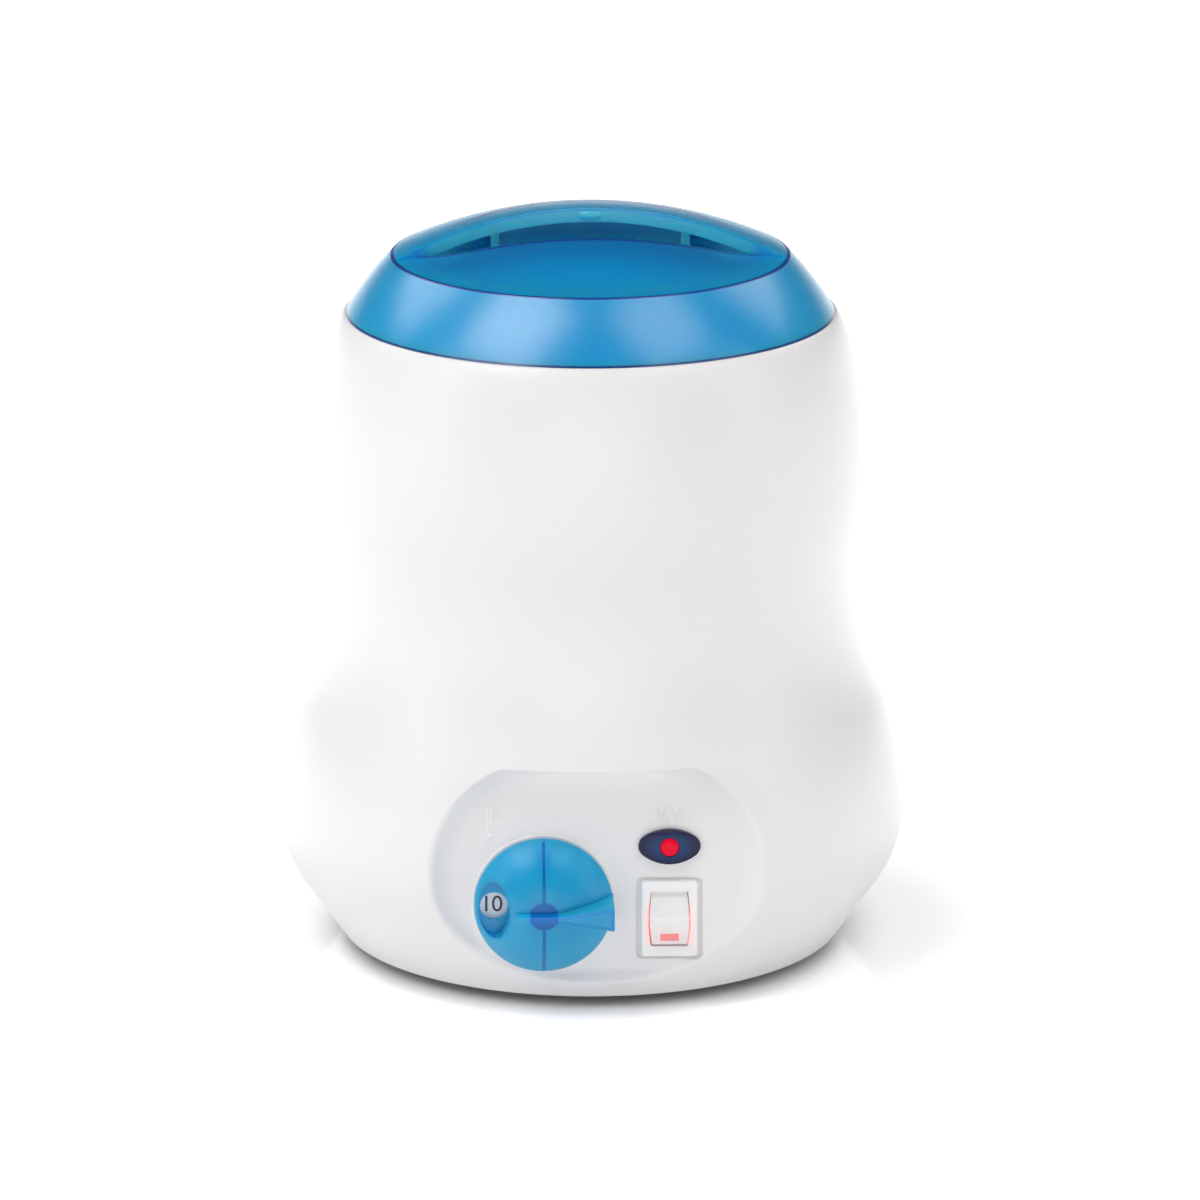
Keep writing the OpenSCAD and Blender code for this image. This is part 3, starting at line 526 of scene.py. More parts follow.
class Board:
    """Node tree with short calls for its nodes, links and sums."""

    def __init__(self, tree: bpy.types.NodeTree) -> None:
        """Takes over a tree."""
        self.tree = tree

    def node(self, kind: str, inputs: dict[str | int, object] | None = None, **settings: object) -> bpy.types.Node:
        """Adds a node.

        Args:
            kind: Blender's name of the node type.
            inputs: Value or source socket of each input, by the input's name or number.
            **settings: Properties of the node itself.

        Returns:
            The new node.
        """
        made = self.tree.nodes.new(kind)
        for key, value in settings.items():
            setattr(made, key, value)
        for key, value in (inputs or {}).items():
            if isinstance(value, Socket):
                self.tree.links.new(value, made.inputs[key])
            else:
                made.inputs[key].default_value = value
        return made

    def math(self, operation: str, *values: Socket | float) -> Socket:
        """Result of one Math node."""
        return self.node("ShaderNodeMath", dict(enumerate(values)), operation=operation).outputs[0]

    def fold(self, operation: str, *values: Socket | float) -> Socket:
        """Joins any number of values by one operation, two at a time."""
        return reduce(lambda first, second: self.math(operation, first, second), values)

    def scaled(self, value: Socket, start: float, end: float, low: float = 0.0, high: float = 1.0,
               course: Course = Course.STRAIGHT) -> Socket:
        """Spreads one span of values over another, held at both ends.

        Args:
            value: The value.
            start: Value that gives low.
            end: Value that gives high.
            low: Result at start.
            high: Result at end.
            course: Course between the two.

        Returns:
            The result.
        """
        spans = {"Value": value, "From Min": start, "From Max": end, "To Min": low, "To Max": high}
        return self.node("ShaderNodeMapRange", spans, interpolation_type=course.value).outputs["Result"]

    def seen(self) -> Socket:
        """Factor of 1 for rays of the camera, of gloss and of glass."""
        rays = self.node("ShaderNodeLightPath").outputs
        return self.fold("MAXIMUM", *(rays[f"Is {kind} Ray"] for kind in ("Camera", "Glossy", "Transmission")))


class Sheet(Board):
    """Node tree of one material, which reads Object coordinates."""

    def __init__(self, name: str) -> None:
        """Starts an empty sheet.

        Args:
            name: Name of the material.
        """
        self.material = bpy.data.materials.new(name)
        self.material.use_nodes = True
        super().__init__(self.material.node_tree)
        self.tree.nodes.clear()
        self.coords = self.node("ShaderNodeTexCoord").outputs["Object"]

    def axes(self) -> tuple[Socket, ...]:
        """The three coordinates, each in metres."""
        return tuple(self.node("ShaderNodeSeparateXYZ", {0: self.coords}).outputs)

    def noise(self, cell: float, detail: float = 3.0, stretch: Point = (1, 1, 1), roughness: float = 0.5) -> Socket:
        """Noise over the piece.

        Args:
            cell: Size of a cell in millimetres.
            detail: Octaves of finer noise.
            stretch: Scale along each axis.
            roughness: Weight of the finer octaves.

        Returns:
            The noise factor.
        """
        mapping = self.node("ShaderNodeMapping", {"Vector": self.coords, "Scale": stretch})
        noise = self.node("ShaderNodeTexNoise", {
            "Vector": mapping.outputs["Vector"], "Scale": 1 / (cell * MM), "Detail": detail, "Roughness": roughness})
        return noise.outputs["Fac"]

    def between(self, noise: Socket, value: float, low: float, high: float) -> Socket:
        """Varies a value by noise, from low times to high times the value."""
        return self.scaled(noise, *NOISE_SPAN, value * low, value * high)

    def blend(self, factor: Socket | float, first: Socket | Colour, second: Colour) -> Socket:
        """Turns one colour into another.

        Args:
            factor: 0 for the first colour and 1 for the second.
            first: Colour, or the socket of one.
            second: Colour.

        Returns:
            The colour between them.
        """
        start = first if isinstance(first, Socket) else (*first, 1)
        mix = self.node("ShaderNodeMix", {"Factor": factor, "A": start, "B": (*second, 1)}, data_type="RGBA")
        return mix.outputs["Result"]

    def clouded(self, noise: Socket, colour: Colour, low: float, high: float = 1.0) -> Socket:
        """Varies a colour by noise, from low times to high times the colour."""
        return self.blend(noise, shade_of(colour, low), shade_of(colour, high))

    def band(self, value: Socket, line: float, span: Span) -> Socket:
        """Turns smoothly from 0 to 1 over a span that is measured from a line, in millimetres."""
        return self.scaled(value, (line + span[0]) * MM, (line + span[1]) * MM, course=Course.SMOOTH)

    def distance(self, first: Socket, second: Socket, spot: Spot = (0, 0)) -> Socket:
        """Distance from a spot in the plane of two coordinates.

        Args:
            first: One coordinate.
            second: The other coordinate.
            spot: The spot in millimetres.

        Returns:
            The distance in metres.
        """
        point = self.node("ShaderNodeCombineXYZ", {"X": first, "Y": second}).outputs[0]
        away = self.node("ShaderNodeVectorMath", {0: point, 1: (spot[0] * MM, spot[1] * MM, 0)}, operation="DISTANCE")
        return away.outputs["Value"]

    def bump(self, height: Socket, strength: float, depth: float) -> Socket:
        """Normal of a fine relief.

        Args:
            height: Height factor.
            strength: Strength from 0 to 1.
            depth: Depth of the relief in millimetres.

        Returns:
            The bent normal.
        """
        node = self.node("ShaderNodeBump", {"Height": height, "Strength": strength, "Distance": depth * MM})
        return node.outputs["Normal"]

    def finish(self, surface: Socket, volume: Socket | None = None) -> Material:
        """Ends the sheet.

        Args:
            surface: Shader of the surface.
            volume: Shader of the inside, if it has one.

        Returns:
            The material.
        """
        out = self.node("ShaderNodeOutputMaterial", {"Surface": surface})
        if volume is not None:
            self.tree.links.new(volume, out.inputs["Volume"])
        return self.material

    def principled(self, inputs: dict[str, object], volume: Socket | None = None) -> Material:
        """Ends the sheet with a Principled shader, and a volume if it has one."""
        return self.finish(self.node("ShaderNodeBsdfPrincipled", inputs).outputs["BSDF"], volume)


def shade_of(colour: Colour, factor: float) -> Colour:
    """Colour made lighter or darker by a factor."""
    return (min(colour[0] * factor, 1), min(colour[1] * factor, 1), min(colour[2] * factor, 1))


@dataclass(frozen=True)
class MouldedPlastic:
    """Opaque moulded plastic with a gloss that varies a little and a faint orange peel."""

    name: str
    colour: Colour
    roughness: float = 0.25
    grain: float = 0.9
    relief: float = 0.004
    coat: float = 0.0

    def build(self) -> Material:
        """Makes the material.

        Returns:
            The material.
        """
        sheet = Sheet(self.name)
        return sheet.principled({
            "Base Color": sheet.clouded(sheet.noise(150, 0), self.colour, 0.995, 1.004),
            "Roughness": sheet.between(sheet.noise(45, 1), self.roughness, 0.94, 1.06),
            "Normal": sheet.bump(sheet.noise(self.grain, 2), 0.35, self.relief),
            "IOR": 1.5,
            "Coat Weight": self.coat,
            "Coat Roughness": 0.04,
        })


@dataclass(frozen=True)
class TintedPlastic:
    """Dyed clear plastic with some milk in it: thick places and edges go deep, and what is behind it blurs."""

    name: str
    colour: Colour = (0.0, 0.48, 1.0)
    deep: Colour = (0.0, 0.06, 0.32)
    # Painted light: the paler colour that thin() lays on where light is painted in.
    painted_light: Colour = (0.07, 0.72, 1.0)
    dye: Colour = (0.0, 0.8, 0.93)
    depth: float = 450.0
    clear: float = 0.35
    deep_clear: float = 0.4
    glow: float = 3.5
    glow_reach: Point = (0.2, 0.7, 1.0)
    haze: float = 0.36
    gloss: float = 0.12
    coat: float = 1.0
    coat_haze: float = 0.26
    coat_ior: float = 1.65
    relief: float = 0.01
    streak: Span = (0.62, 0.95)

    def thin(self, sheet: Sheet) -> Socket | float:
        """Factor of 1 where painted light makes the colour paler; here that is nowhere."""
        return 0.0

    def thick(self, sheet: Sheet) -> Socket:
        """Factor of the faint streaks in which the plastic ran into the mould."""
        return sheet.scaled(sheet.noise(60, 3, (1, 1, 0.08)), *self.streak, course=Course.SMOOTH)

    def build(self) -> Material:
        """Makes the material.

        Returns:
            The material, with the dye as its volume.
        """
        sheet = Sheet(self.name)
        cloudy = sheet.clouded(sheet.noise(30, 2), self.colour, 0.95, 1.02)
        thick = self.thick(sheet)
        dye = sheet.node("ShaderNodeVolumeAbsorption", {"Color": (*self.dye, 1), "Density": self.depth})
        return sheet.principled({
            # Painted light makes the colour paler where thin() finds it, then deep is laid over where thick() finds it.
            "Base Color": sheet.blend(thick, sheet.blend(self.thin(sheet), cloudy, self.painted_light), self.deep),
            "Roughness": sheet.between(sheet.noise(9, 4), self.haze, 0.85, 1.15),
            "Normal": sheet.bump(sheet.noise(22, 2, (1, 1, 0.35)), 0.25, self.relief),
            "IOR": 1.45,
            "Specular IOR Level": self.gloss,
            "Coat Weight": self.coat,
            "Coat Roughness": self.coat_haze,
            "Coat IOR": self.coat_ior,
            "Subsurface Weight": 1.0,
            "Subsurface Radius": self.glow_reach,
            "Subsurface Scale": self.glow * MM,
            "Transmission Weight": sheet.scaled(thick, 0, 1, self.clear, self.clear * self.deep_clear),
        }, dye.outputs["Volume"])


@dataclass(frozen=True)
class LidPlastic(TintedPlastic):
    """Tinted plastic of the lid, deep along its rim, its edge and the finger pocket's back, with painted shade in front
    of the lip and painted light in the pocket under the hood.

    The lip, the brim and the pocket's back are given by the Y of their circle's middle and its radius. Each span is
    measured from the line that its name begins with.
    """

    edge: Spot = (53.5, 190.7)
    edge_line: Span = (0.8, 0.4)
    rim_z: float = 175.35
    rim_line: Span = (0.25, 0.0)
    lip: Spot = (116.0, 130.0)
    # lip_painted_light and back_painted_light bound the painted light in the finger pocket.
    lip_painted_light: Span = (0.6, -3.0)
    lip_line: Span = (2.8, 1.6)
    # lip_shade spans the painted shade in front of the lip.
    lip_shade: Span = (34.0, 4.0)
    lip_start: Span = (-0.9, -0.3)
    brim: Spot = (-122.0, 125.0)
    brim_front: Span = (-0.05, -0.4)
    back: Spot = (-45.2, 61.2)
    back_painted_light: Span = (0.8, 0.2)
    back_start: Span = (-0.6, 1.0)
    back_end: Span = (7.5, 2.0)
    back_rise: Span = (0.6, 2.4)
    back_side: Span = (42.0, 26.0)
    top: float = 190.9
    top_rise: Span = (0.0, 0.6)
    # Strength of the painted shade in front of the lip.
    lip_shade_strength: float = 0.62
    hood_z: float = 202.4
    hood_curve: float = 259.0
    hood_under: Span = (-0.5, -1.0)

    def thin(self, sheet: Sheet) -> Socket | float:
        """Finds the finger pocket and the brim's face under the hood, where painted light makes the colour paler.

        Args:
            sheet: Sheet of the material.

        Returns:
            Factor of 1 there.
        """
        x, y, z = sheet.axes()
        reach = sheet.distance(x, y)
        crown = sheet.math("MULTIPLY_ADD", sheet.math("MULTIPLY", reach, reach), 1 / (self.hood_curve * MM), z)
        under = sheet.band(crown, self.hood_z, self.hood_under)
        # Painted light: the pocket between the lip and its back, under the hood, is made paler as if lit through the
        # hood.
        lip = sheet.band(sheet.distance(x, y, (0, self.lip[0])), self.lip[1], self.lip_painted_light)
        back = sheet.band(sheet.distance(x, y, (0, self.back[0])), self.back[1], self.back_painted_light)
        return sheet.fold("MULTIPLY", lip, back, under)

    def thick(self, sheet: Sheet) -> Socket:
        """Finds the rim, the edge, the lip, a painted shade in front of the lip and the pocket's back.

        Args:
            sheet: Sheet of the material.

        Returns:
            Factor of 1 there, and of a little in the streaks.
        """
        x, y, z = sheet.axes()
        lip, brim, back = (sheet.distance(x, y, (0, line[0])) for line in (self.lip, self.brim, self.back))
        edge = sheet.band(sheet.distance(sheet.distance(x, y), z, self.edge), 0, self.edge_line)
        rim = sheet.band(z, self.rim_z, self.rim_line)
        # Painted shade: the plateau darkens towards the lip, as the shaded pocket seen through the plastic.
        wall = sheet.math("MULTIPLY", sheet.band(lip, self.lip[1], self.lip_shade), self.lip_shade_strength)
        front = sheet.fold(
            "MULTIPLY",
            sheet.math("MAXIMUM", sheet.band(lip, self.lip[1], self.lip_line), wall),
            sheet.band(brim, self.brim[1], self.brim_front),
            sheet.band(lip, self.lip[1], self.lip_start),
            sheet.band(z, self.top, self.top_rise))
        behind = sheet.fold(
            "MULTIPLY",
            sheet.band(back, self.back[1], self.back_start),
            sheet.band(back, self.back[1], self.back_end),
            sheet.band(z, self.edge[1], self.back_rise),
            sheet.band(sheet.math("ABSOLUTE", x), 0, self.back_side))
        return sheet.fold("MAXIMUM", edge, rim, front, behind, super().thick(sheet))


@dataclass(frozen=True)
class DialPlastic(TintedPlastic):
    """Tinted plastic of the dial, deep over its hub, its ribs and its pocket, where the moulding is thick."""

    at: Spot = Panel.dial
    hub_r: float = 3.9
    hub_line: Span = (0.3, -0.4)
    rib: float = 0.42
    rib_line: Span = (0.25, -0.25)
    rib_end: float = 18.2
    rib_fade: Span = (0.4, -0.8)
    blob_y: float = 14.0
    blob: Span = (3.6, 0.8)
    blob_tint: float = 0.3
    pocket_x: float = -13.2
    pocket_flat: float = 0.55
    pocket: Span = (5.0, 4.4)
    pocket_tint: float = 0.25
    grip_taper: float = 0.151
    grip_half: float = 0.397
    grip_end: float = 18.6
    grip_rim: Span = (1.15, 0.85)
    grip_start: Span = (3.6, 4.4)
    grip_face: float = -86.2
    grip_front: Span = (0.35, 0.2)
    grip_tint: float = 0.5

    def thick(self, sheet: Sheet) -> Socket:
        """Finds the hub, the ribs, the pocket and the grip's outline.

        Args:
            sheet: Sheet of the material.

        Returns:
            Factor of 1 over the hub and the ribs, and less over the rest and in the streaks.
        """
        x, y, z = sheet.axes()
        across = sheet.math("SUBTRACT", x, self.at[0] * MM)
        up = sheet.math("SUBTRACT", z, self.at[1] * MM)
        reach = sheet.distance(across, up)
        hub = sheet.band(reach, self.hub_r, self.hub_line)
        rib = sheet.fold("MULTIPLY", sheet.band(sheet.math("ABSOLUTE", across), self.rib, self.rib_line),
                         sheet.band(reach, self.rib_end, self.rib_fade))
        blob = sheet.math("MULTIPLY", sheet.band(sheet.distance(across, up, (0, self.blob_y)), 0, self.blob),
                          self.blob_tint)
        flat = sheet.math("MULTIPLY", up, self.pocket_flat)
        pocket = sheet.math("MULTIPLY", sheet.band(sheet.distance(across, flat, (self.pocket_x, 0)), 0, self.pocket),
                            self.pocket_tint)
        half = sheet.math("MULTIPLY_ADD", across, self.grip_taper, self.grip_half * MM)
        inside = sheet.math("SUBTRACT", half, sheet.math("ABSOLUTE", up))
        end = sheet.math("SUBTRACT", self.grip_end * MM, across)
        grip = sheet.fold("MULTIPLY", sheet.band(sheet.math("MINIMUM", inside, end), 0, self.grip_rim),
                          sheet.band(across, 0, self.grip_start), sheet.band(y, self.grip_face, self.grip_front),
                          self.grip_tint)
        return sheet.fold("MAXIMUM", hub, rib, blob, pocket, grip, super().thick(sheet))


@dataclass(frozen=True)
class BrushedMetal:
    """Metal with fine lines along one direction and a few darker stains."""

    name: str
    colour: Colour
    roughness: float = 0.3
    stretch: Point = (1, 1, 0.02)
    line: float = 0.25

    def build(self) -> Material:
        """Makes the material.

        Returns:
            The material.
        """
        sheet = Sheet(self.name)
        lines = sheet.noise(self.line, 3, self.stretch, 0.7)
        return sheet.principled({
            "Base Color": sheet.clouded(sheet.noise(18, 3), self.colour, 0.9),
            "Metallic": 1.0,
            "Roughness": sheet.between(lines, self.roughness, 0.75, 1.3),
            "Normal": sheet.bump(lines, 0.3, 0.006),
        })


@dataclass(frozen=True)
class SoftMatter:
    """Rubber, felt, mica or cable sheath: a matte surface with a grain of its own scale."""

    name: str
    colour: Colour
    second: Colour
    roughness: float = 0.75
    grain: float = 0.6
    relief: float = 0.05
    stretch: Point = (1, 1, 1)
    sheen: float = 0.0

    def build(self) -> Material:
        """Makes the material.

        Returns:
            The material.
        """
        sheet = Sheet(self.name)
        grain = sheet.noise(self.grain, 4, self.stretch, 0.6)
        return sheet.principled({
            "Base Color": sheet.blend(sheet.noise(self.grain * 9, 3, self.stretch), self.colour, self.second),
            "Roughness": sheet.between(grain, self.roughness, 0.9, min(1.1, 1 / self.roughness)),
            "Normal": sheet.bump(grain, 0.6, self.relief),
            "Sheen Weight": self.sheen,
        })


@dataclass(frozen=True)
class Glow:
    """Lit plastic: glossy, with light of its own."""

    name: str
    colour: Colour
    light: Colour
    strength: float = 1.0
    roughness: float = 0.15
    clear: float = 0.0

    def build(self) -> Material:
        """Makes the material.

        Returns:
            The material.
        """
        sheet = Sheet(self.name)
        return sheet.principled({
            "Base Color": sheet.clouded(sheet.noise(2.2, 2), self.colour, 0.9),
            "Roughness": sheet.between(sheet.noise(1.5, 3), self.roughness, 0.8, 1.2),
            "Specular IOR Level": 0.15,
            "Transmission Weight": self.clear,
            "Emission Color": (*self.light, 1),
            "Emission Strength": self.strength,
        })


@dataclass(frozen=True)
class LitRocker:
    """White rocker with red light that shines through its lower sides and tints its lower face."""

    name: str
    colour: Colour = (0.91, 0.905, 0.895)
    warm: Colour = (0.95, 0.60, 0.60)
    light: Colour = (1.0, 0.10, 0.10)
    pivot_z: float = Panel.switch[1]
    side_turn: Span = (0.45, 0.85)
    side_rise: Span = (5.0, -1.0)
    side_glow: Span = (0.15, 0.75)
    face_rise: Span = (-0.6, -6.5)
    face_tint: float = 0.45

    def build(self) -> Material:
        """Makes the material.

        Returns:
            The material, with its light on the sides and its tint on the face.
        """
        sheet = Sheet(self.name)
        height = sheet.axes()[2]
        facing = sheet.node("ShaderNodeTexCoord").outputs["Normal"]
        across = sheet.math("ABSOLUTE", sheet.node("ShaderNodeSeparateXYZ", {0: facing}).outputs["X"])
        low = sheet.scaled(height, *((self.pivot_z + rise) * MM for rise in self.side_rise), *self.side_glow)
        glow = sheet.math("MULTIPLY", sheet.scaled(across, *self.side_turn), low)
        foot = sheet.scaled(height, *((self.pivot_z + rise) * MM for rise in self.face_rise), 0, self.face_tint)
        return sheet.principled({
            "Base Color": sheet.blend(sheet.math("MAXIMUM", glow, foot), self.colour, self.warm),
            "Roughness": sheet.between(sheet.noise(6, 3), 1, 0.24, 0.3),
            "Normal": sheet.bump(sheet.noise(0.5, 2), 0.3, 0.003),
            "Emission Color": (*self.light, 1),
            "Emission Strength": glow,
        })


@dataclass(frozen=True)
class NavyLens:
    """Dark blue lens whose middle is a clearer blue than its ends."""

    name: str
    dark: Colour = (0.008, 0.010, 0.055)
    clear: Colour = (0.0, 0.045, 0.16)
    middle: Spot = Panel.lamp
    half: Spot = (6.0, 3.6)
    fade: Span = (0.6, 1.15)

    def build(self) -> Material:
        """Makes the material.

        Returns:
            The material, with an oval of the clearer blue.
        """
        sheet = Sheet(self.name)
        (x, z), (wide, high) = self.middle, self.half
        mapping = sheet.node("ShaderNodeMapping", {
            "Vector": sheet.coords, "Location": (-x * MM / wide, 0, -z * MM / high), "Scale": (1 / wide, 0, 1 / high)})
        reach = sheet.node("ShaderNodeVectorMath", {0: mapping.outputs["Vector"]}, operation="LENGTH").outputs["Value"]
        spread = sheet.scaled(reach, *(limit * MM for limit in self.fade))
        return sheet.principled({
            "Base Color": sheet.blend(spread, self.clear, self.dark),
            "Roughness": sheet.between(sheet.noise(2, 3), 1, 0.06, 0.1),
            "Normal": sheet.bump(sheet.noise(3, 2), 0.2, 0.004),
            "IOR": 1.4,
            "Specular IOR Level": 0.3,
        })


class Wardrobe:
    """Finishes of the warmer, each made once and handed out by name."""

    finishes = (
        MouldedPlastic("casing_plastic", (0.87, 0.857, 0.86), 0.33, 1.1, 0.004),
        # Painted highlight: the casing plastic made lighter for the raised marks, which catch the light.
        MouldedPlastic("mark_plastic", (0.95, 0.945, 0.945), 0.33, 0.6, 0.003),
        MouldedPlastic("gland_plastic", (0.72, 0.72, 0.73), 0.4, 0.5, 0.01),
        MouldedPlastic("base_plastic", (0.035, 0.035, 0.038), 0.5, 0.5, 0.03),
        MouldedPlastic("switch_plastic", (0.93, 0.93, 0.93), 0.25, 0.5, 0.003, 0.1),
        MouldedPlastic("holder_plastic", (0.03, 0.03, 0.033), 0.5, 0.5, 0.02),
        MouldedPlastic("thermostat_resin", (0.55, 0.52, 0.42), 0.5, 0.4, 0.02),
        MouldedPlastic("block_nylon", (0.72, 0.70, 0.60), 0.45, 0.5, 0.015),
        MouldedPlastic("scale_print", (0.9, 0.9, 0.9), 0.45, 0.4, 0.004),
        MouldedPlastic("number_ink", (0.02, 0.022, 0.03), 0.5, 0.3, 0.004),
        LidPlastic("lid_plastic"),
        DialPlastic("dial_plastic", (0.02, 0.58, 1.0), (0.0, 0.19, 0.58), depth=260.0, clear=0.45, haze=0.33, gloss=0.4,
                    coat=0.0),
        BrushedMetal("pot_aluminium", (0.80, 0.80, 0.81), 0.3, (1, 1, 0.03), 0.3),
        BrushedMetal("screw_steel", (0.58, 0.58, 0.59), 0.3, (1, 1, 1), 0.3),
        BrushedMetal("sheet_steel", (0.62, 0.62, 0.63), 0.35, (0.03, 1, 1), 0.3),
        BrushedMetal("tab_brass", (0.72, 0.55, 0.22), 0.3, (1, 0.05, 1), 0.2),
        BrushedMetal("tube_copper", (0.72, 0.36, 0.22), 0.3, (0.05, 1, 1), 0.2),
        SoftMatter("foot_rubber", (0.018, 0.018, 0.02), (0.026, 0.026, 0.028), 0.8, 0.5, 0.06),
        SoftMatter("seal_silicone", (0.55, 0.52, 0.47), (0.6, 0.57, 0.52), 0.6, 0.8, 0.03),
        SoftMatter("heater_mica", (0.36, 0.22, 0.11), (0.5, 0.34, 0.18), 0.5, 1.6, 0.05, (1, 1, 0.6)),
        SoftMatter("sleeve_felt", (0.66, 0.60, 0.48), (0.74, 0.69, 0.57), 0.95, 0.5, 0.25, (1, 1, 0.5), 0.3),
        SoftMatter("sheath_brown", (0.10, 0.035, 0.015), (0.12, 0.045, 0.02), 0.5, 0.5, 0.01),
        SoftMatter("sheath_blue", (0.015, 0.09, 0.38), (0.02, 0.11, 0.42), 0.5, 0.5, 0.01),
        SoftMatter("sheath_green", (0.06, 0.26, 0.03), (0.55, 0.5, 0.03), 0.5, 0.5, 0.01),
        SoftMatter("sheath_black", (0.015, 0.015, 0.015), (0.02, 0.02, 0.02), 0.5, 0.5, 0.01),
        LitRocker("rocker_plastic"),
        NavyLens("navy_lens"),
        Glow("jewel_red", (0.6, 0.0, 0.02), (1.0, 0.0, 0.035), 0.28, 0.3),
        Glow("window_red", (0.86, 0.30, 0.30), (1.0, 0.16, 0.16), 0.18, 0.35),
        Glow("lamp_glass", (0.9, 0.5, 0.35), (1.0, 0.35, 0.15), 0.6, 0.1, 0.5),
    )

    def __init__(self) -> None:
        """Makes every finish."""
        self.materials = {finish.name: finish.build() for finish in self.finishes}

    def dress(self, piece: Piece, finish: str) -> None:
        """Gives a piece one finish all over.

        Args:
            piece: Piece or CAD node.
            finish: Name of the finish.
        """
        slots = piece.data.materials
        if len(slots) == 0:
            slots.append(self.materials[finish])
        for k in range(len(slots)):
            slots[k] = self.materials[finish]


class GrowthTree(Board):
    """Geometry Nodes tree with named inputs, run on a host and turned into a plain mesh."""

    def __init__(self, name: str) -> None:
        """Starts the tree with its geometry sockets.

        Args:
            name: Name of the node group.
        """
        super().__init__(bpy.data.node_groups.new(name, "GeometryNodeTree"))
        self.tree.is_modifier = True
        for way in ("OUTPUT", "INPUT"):
            self.tree.interface.new_socket("Geometry", in_out=way, socket_type="NodeSocketGeometry")
        self.entry = self.node("NodeGroupInput")
        self.names: dict[str, str] = {}

    def input(self, name: str, kind: str) -> Socket:
        """Adds a named input.

        Args:
            name: Name of the input.
            kind: Type of value, such as Float.

        Returns:
            The socket that the input feeds.
        """
        item = self.tree.interface.new_socket(name, in_out="INPUT", socket_type=f"NodeSocket{kind}")
        self.names[name] = item.identifier
        return self.entry.outputs[name]

    def close(self, geometry: Socket, finish: Socket) -> None:
        """Ends the tree with real geometry and its material.

        Args:
            geometry: Geometry to hand out.
            finish: Material input.
        """
        real = self.node("GeometryNodeRealizeInstances", {"Geometry": geometry})
        painted = self.node("GeometryNodeSetMaterial", {"Geometry": real.outputs[0], "Material": finish})
        self.node("NodeGroupOutput", {"Geometry": painted.outputs[0]})

    def run(self, host: Piece, values: dict[str, object]) -> Piece:
        """Runs the tree on a host and keeps the result as its mesh.

        Args:
            host: Object that carries the modifier.
            values: Value of each named input.

        Returns:
            The host, with a plain mesh.
        """
        modifier = host.modifiers.new("growth", "NODES")
        modifier.node_group = self.tree
        for name, value in values.items():
            modifier[self.names[name]] = value
        return bake_modifiers(host)


class RingTree(GrowthTree):
    """Copies a piece round the Z axis at equal turns."""

    def __init__(self) -> None:
        """Builds the tree."""
        super().__init__("ring_of_copies")
        count = self.input("Count", "Int")
        reach, first, step = (self.input(name, "Float") for name in ("Reach", "First Turn", "Step"))
        piece, finish = self.input("Piece", "Object"), self.input("Finish", "Material")
        index = self.node("GeometryNodeInputIndex").outputs[0]
        turn = self.math("MULTIPLY_ADD", index, step, first)
        x, y = (self.math("MULTIPLY", self.math(part, turn), reach) for part in ("COSINE", "SINE"))
        spot = self.node("ShaderNodeCombineXYZ", {"X": x, "Y": y}).outputs[0]
        points = self.node("GeometryNodePoints", {"Count": count, "Position": spot}).outputs[0]
        heading = self.node("ShaderNodeCombineXYZ", {"Z": turn}).outputs[0]
        rotation = self.node("FunctionNodeEulerToRotation", {"Euler": heading}).outputs[0]
        shape = self.node("GeometryNodeObjectInfo", {"Object": piece}).outputs["Geometry"]
        copies = self.node("GeometryNodeInstanceOnPoints", {
            "Points": points, "Instance": shape, "Rotation": rotation}).outputs[0]
        self.close(copies, finish)

    def grow(self, name: str, piece: Piece, count: int, reach: float, first: float, step: float,
             finish: Material) -> Piece:
        """Makes the ring and removes the piece that it was made from.

        Args:
            name: Name of the ring.
            piece: Shape to copy, built round its own zero.
            count: Number of copies.
            reach: Distance from the axis in millimetres.
            first: First turn in degrees.
            step: Turn from one copy to the next in degrees.
            finish: Material of the copies.

        Returns:
            The ring as one piece.
        """
        ring = new_piece(name, [(0, 0, 0)], [])
        self.run(ring, {"Count": count, "Reach": reach * MM, "First Turn": math.radians(first),
                        "Step": math.radians(step), "Piece": piece, "Finish": finish})
        bpy.data.objects.remove(piece)
        return ring


class SweepTree(GrowthTree):
    """Sweeps a round section along the host's line of points."""

    def __init__(self) -> None:
        """Builds the tree."""
        super().__init__("swept_line")
        radius = self.input("Radius", "Float")
        sides = self.input("Sides", "Int")
        finish = self.input("Finish", "Material")
        line = self.node("GeometryNodeMeshToCurve", {"Mesh": self.entry.outputs["Geometry"]}).outputs[0]
        section = self.node("GeometryNodeCurvePrimitiveCircle", {"Resolution": sides, "Radius": radius}).outputs[0]
        tube = self.node("GeometryNodeCurveToMesh", {"Curve": line, "Profile Curve": section, "Fill Caps": True})
        smooth = self.node("GeometryNodeSetShadeSmooth", {"Geometry": tube.outputs[0]}).outputs[0]
        self.close(smooth, finish)

    def grow(self, name: str, lines: Sequence[Sequence[Point]], radius: float, finish: Material,
             sides: int = 16) -> Piece:
        """Makes tubes along one or more lines.

        Args:
            name: Name of the piece.
            lines: Points of each line in millimetres.
            radius: Radius of the section in millimetres.
            finish: Material of the tubes.
            sides: Sides of the section.

        Returns:
            The tubes as one piece.
        """
        edges: list[tuple[int, int]] = []
        start = 0
        for line in lines:
            edges += [(start + k, start + k + 1) for k in range(len(line) - 1)]
            start += len(line)
        mesh = bpy.data.meshes.new(name)
        mesh.from_pydata([tuple(c * MM for c in p) for line in lines for p in line], edges, [])
        return self.run(linked(name, mesh), {"Radius": radius * MM, "Sides": sides, "Finish": finish})


